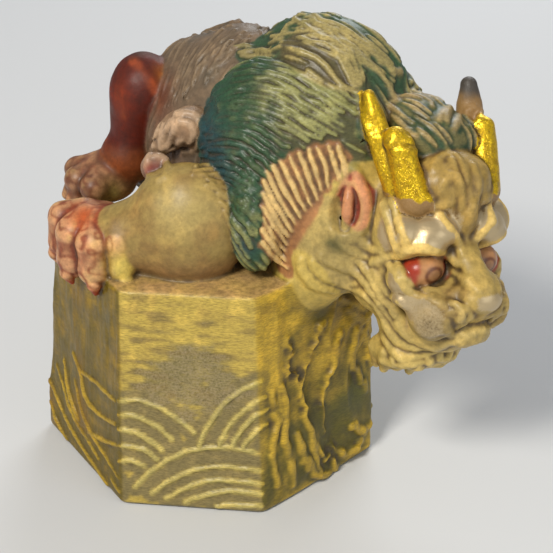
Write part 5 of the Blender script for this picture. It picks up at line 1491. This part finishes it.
made = 0
for name in PIECES:
    pid = PID[name]
    got = build(name)
    if got is None:
        continue
    used, f, comp = got
    P = V[used]
    pc, pw_, pv, pn = col[used], wear[used], cav_s[used], N[used]
    if name == "plinth":
        f, P, pc, pw_, pv, pn = thin_out(f, P, pc, pw_, pv, pn, (hollow_v[used] < 0.6) | ((P[:, 2] < 0.25) & (walls[used].max(1) < -1.2)))
    nv = len(P)
    # close the patch from behind, so that the piece is a solid of its own:
    # a rim that turns inwards, then a fan to a point inside the figure
    e = np.concatenate([f[:, [0, 1]], f[:, [1, 2]], f[:, [2, 3]], f[:, [3, 0]]]).astype(np.int64)
    e = e[e[:, 0] != e[:, 1]]
    fwd = e[:, 0] * nv + e[:, 1]
    bwd = e[:, 1] * nv + e[:, 0]
    border = e[~np.isin(fwd, bwd)]
    verts = [P]; tris = []; skirt = []
    xcol = []; xnrm = []
    nn = nv
    if len(border):
        loop = np.arange(nv)
        for _ in range(3000):
            old = loop.copy()
            np.minimum.at(loop, border[:, 0], loop[border[:, 1]])
            np.minimum.at(loop, border[:, 1], loop[border[:, 0]])
            loop = loop[loop]
            if (loop == old).all():
                break
        for r in np.unique(loop[border[:, 0]]):
            b = border[loop[border[:, 0]] == r]
            ring = np.unique(b)
            Pr, Nr = P[ring], pn[ring]
            depth = min(0.9, 0.12 * len(ring) * VOX)
            back = Pr - Nr * depth
            own = np.flatnonzero(np.linalg.norm(P - Pr.mean(0), axis=1) < 2.5 * np.linalg.norm(Pr - Pr.mean(0), axis=1).max() + 2)
            apex = best_apex(Pr, Nr, back, P[own], pn[own])
            idx = np.full(nv, -1); idx[ring] = nn + np.arange(len(ring))
            ap = nn + len(ring)
            skirt.append(np.stack([b[:, 1], b[:, 0], idx[b[:, 0]], idx[b[:, 1]]], 1))
            tris.append(np.stack([idx[b[:, 1]], idx[b[:, 0]], np.full(len(b), ap)], 1))
            verts += [back, apex[None]]
            xcol += [pc[ring], pc[ring].mean(0)[None]]
            xnrm += [Nr, Nr.mean(0)[None]]
            nn = ap + 1
    if skirt:
        f = np.concatenate([f] + skirt)
    VV = np.concatenate(verts)
    T = np.concatenate(tris) if tris else np.zeros((0, 3), int)
    tri = f[:, 2] == f[:, 3]
    T = np.concatenate([T, f[tri][:, :3]])
    f = f[~tri]
    me = bpy.data.meshes.new(name + "_skin")
    nq, ntq = len(f), len(T)
    me.vertices.add(len(VV))
    me.vertices.foreach_set("co", (VV / 1000.0).astype(np.float32).ravel())
    me.loops.add(nq * 4 + ntq * 3)
    me.loops.foreach_set("vertex_index", np.concatenate([f.ravel(), T.ravel()]).astype(np.int32))
    me.polygons.add(nq + ntq)
    starts = np.concatenate([np.arange(nq) * 4, nq * 4 + np.arange(ntq) * 3]).astype(np.int32)
    me.polygons.foreach_set("loop_start", starts)
    me.polygons.foreach_set("use_smooth", np.ones(nq + ntq, bool))
    me.update(calc_edges=True)
    me.validate()
    ext = len(VV) - nv
    rgba = np.ones((len(VV), 4), np.float32)
    rgba[:nv, :3] = np.clip(pc, 0, 1)
    if ext:
        rgba[nv:, :3] = np.clip(np.concatenate(xcol), 0, 1)
    at = me.attributes.new("paint", "FLOAT_COLOR", "POINT"); at.data.foreach_set("color", rgba.ravel())
    at = me.attributes.new("wear", "FLOAT", "POINT"); at.data.foreach_set("value", np.concatenate([pw_, np.zeros(ext)]).astype(np.float32))
    at = me.attributes.new("cavity", "FLOAT", "POINT"); at.data.foreach_set("value", np.concatenate([pv, np.zeros(ext)]).astype(np.float32))
    nrm_all = np.concatenate([pn] + xnrm)
    me.normals_split_custom_set_from_vertices(nrm_all.tolist())
    ob = bpy.data.objects.new(name + "_sculpt", me)
    bpy.context.scene.collection.objects.link(ob)
    me.materials.append(MATS[SLOT[name]])
    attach(ob, "root")
    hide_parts(name)
    made += 1
print("leaks", LEAK)
print("pieces", made, "triangles", sum(2 * len(o.data.polygons) for o in bpy.data.objects if o.name.endswith("_sculpt")), max((len(o.data.polygons) * 2, o.name) for o in bpy.data.objects if o.name.endswith("_sculpt")), round(time.time() - T0, 1), "s")

# ---------------------------------------------------------------- the setting
bpy.ops.mesh.primitive_plane_add(size=6, location=(0, 0, -0.0002))
floor = bpy.context.object
floor.name = "floor"
fm_, fnt, fbs = nodes_of("pale_floor")
fbs.inputs["Base Color"].default_value = (0.62, 0.63, 0.64, 1)
fbs.inputs["Roughness"].default_value = 0.85
floor.data.materials.append(fm_)

world = bpy.data.worlds.new("studio")
world.use_nodes = True
bg = world.node_tree.nodes["Background"]
bg.inputs[0].default_value = (0.97, 0.98, 1.0, 1)
bg.inputs[1].default_value = 0.30
bpy.context.scene.world = world


def area(name, loc, at, size, power, colour=(1, 1, 1)):
    li = bpy.data.lights.new(name, "AREA")
    li.shape = "RECTANGLE"; li.size = size[0]; li.size_y = size[1]
    li.energy = power; li.color = colour
    ob = bpy.data.objects.new(name, li)
    ob.location = loc
    ob.rotation_euler = (mathutils.Vector(at) - mathutils.Vector(loc)).to_track_quat("-Z", "Y").to_euler()
    bpy.context.scene.collection.objects.link(ob)


area("key", (-0.45, -0.80, 0.95), (0.02, 0, 0.08), (0.32, 0.32), 14.5, (1.0, 0.955, 0.87))
area("fill", (0.85, -0.65, 0.45), (0.03, 0, 0.07), (0.7, 0.7), 2.2, (0.94, 0.97, 1.0))
area("back", (0.25, 0.85, 0.7), (0, 0, 0.1), (0.6, 0.5), 5.0, (0.96, 0.98, 1.0))

cam = bpy.data.cameras.new("camera")
cam.sensor_width = 36.0
cam.lens = 104.16
cam.clip_start = 0.01
co = bpy.data.objects.new("camera", cam)
co.location = (0.0215, -0.4544, 0.2915)
co.rotation_euler = (mathutils.Vector((0.0215, 0, 0.060)) - co.location).to_track_quat("-Z", "Y").to_euler()
bpy.context.scene.collection.objects.link(co)
bpy.context.scene.camera = co
bpy.context.scene.view_settings.view_transform = "Standard"

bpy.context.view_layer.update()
print("done", round(time.time() - T0, 1), "s")
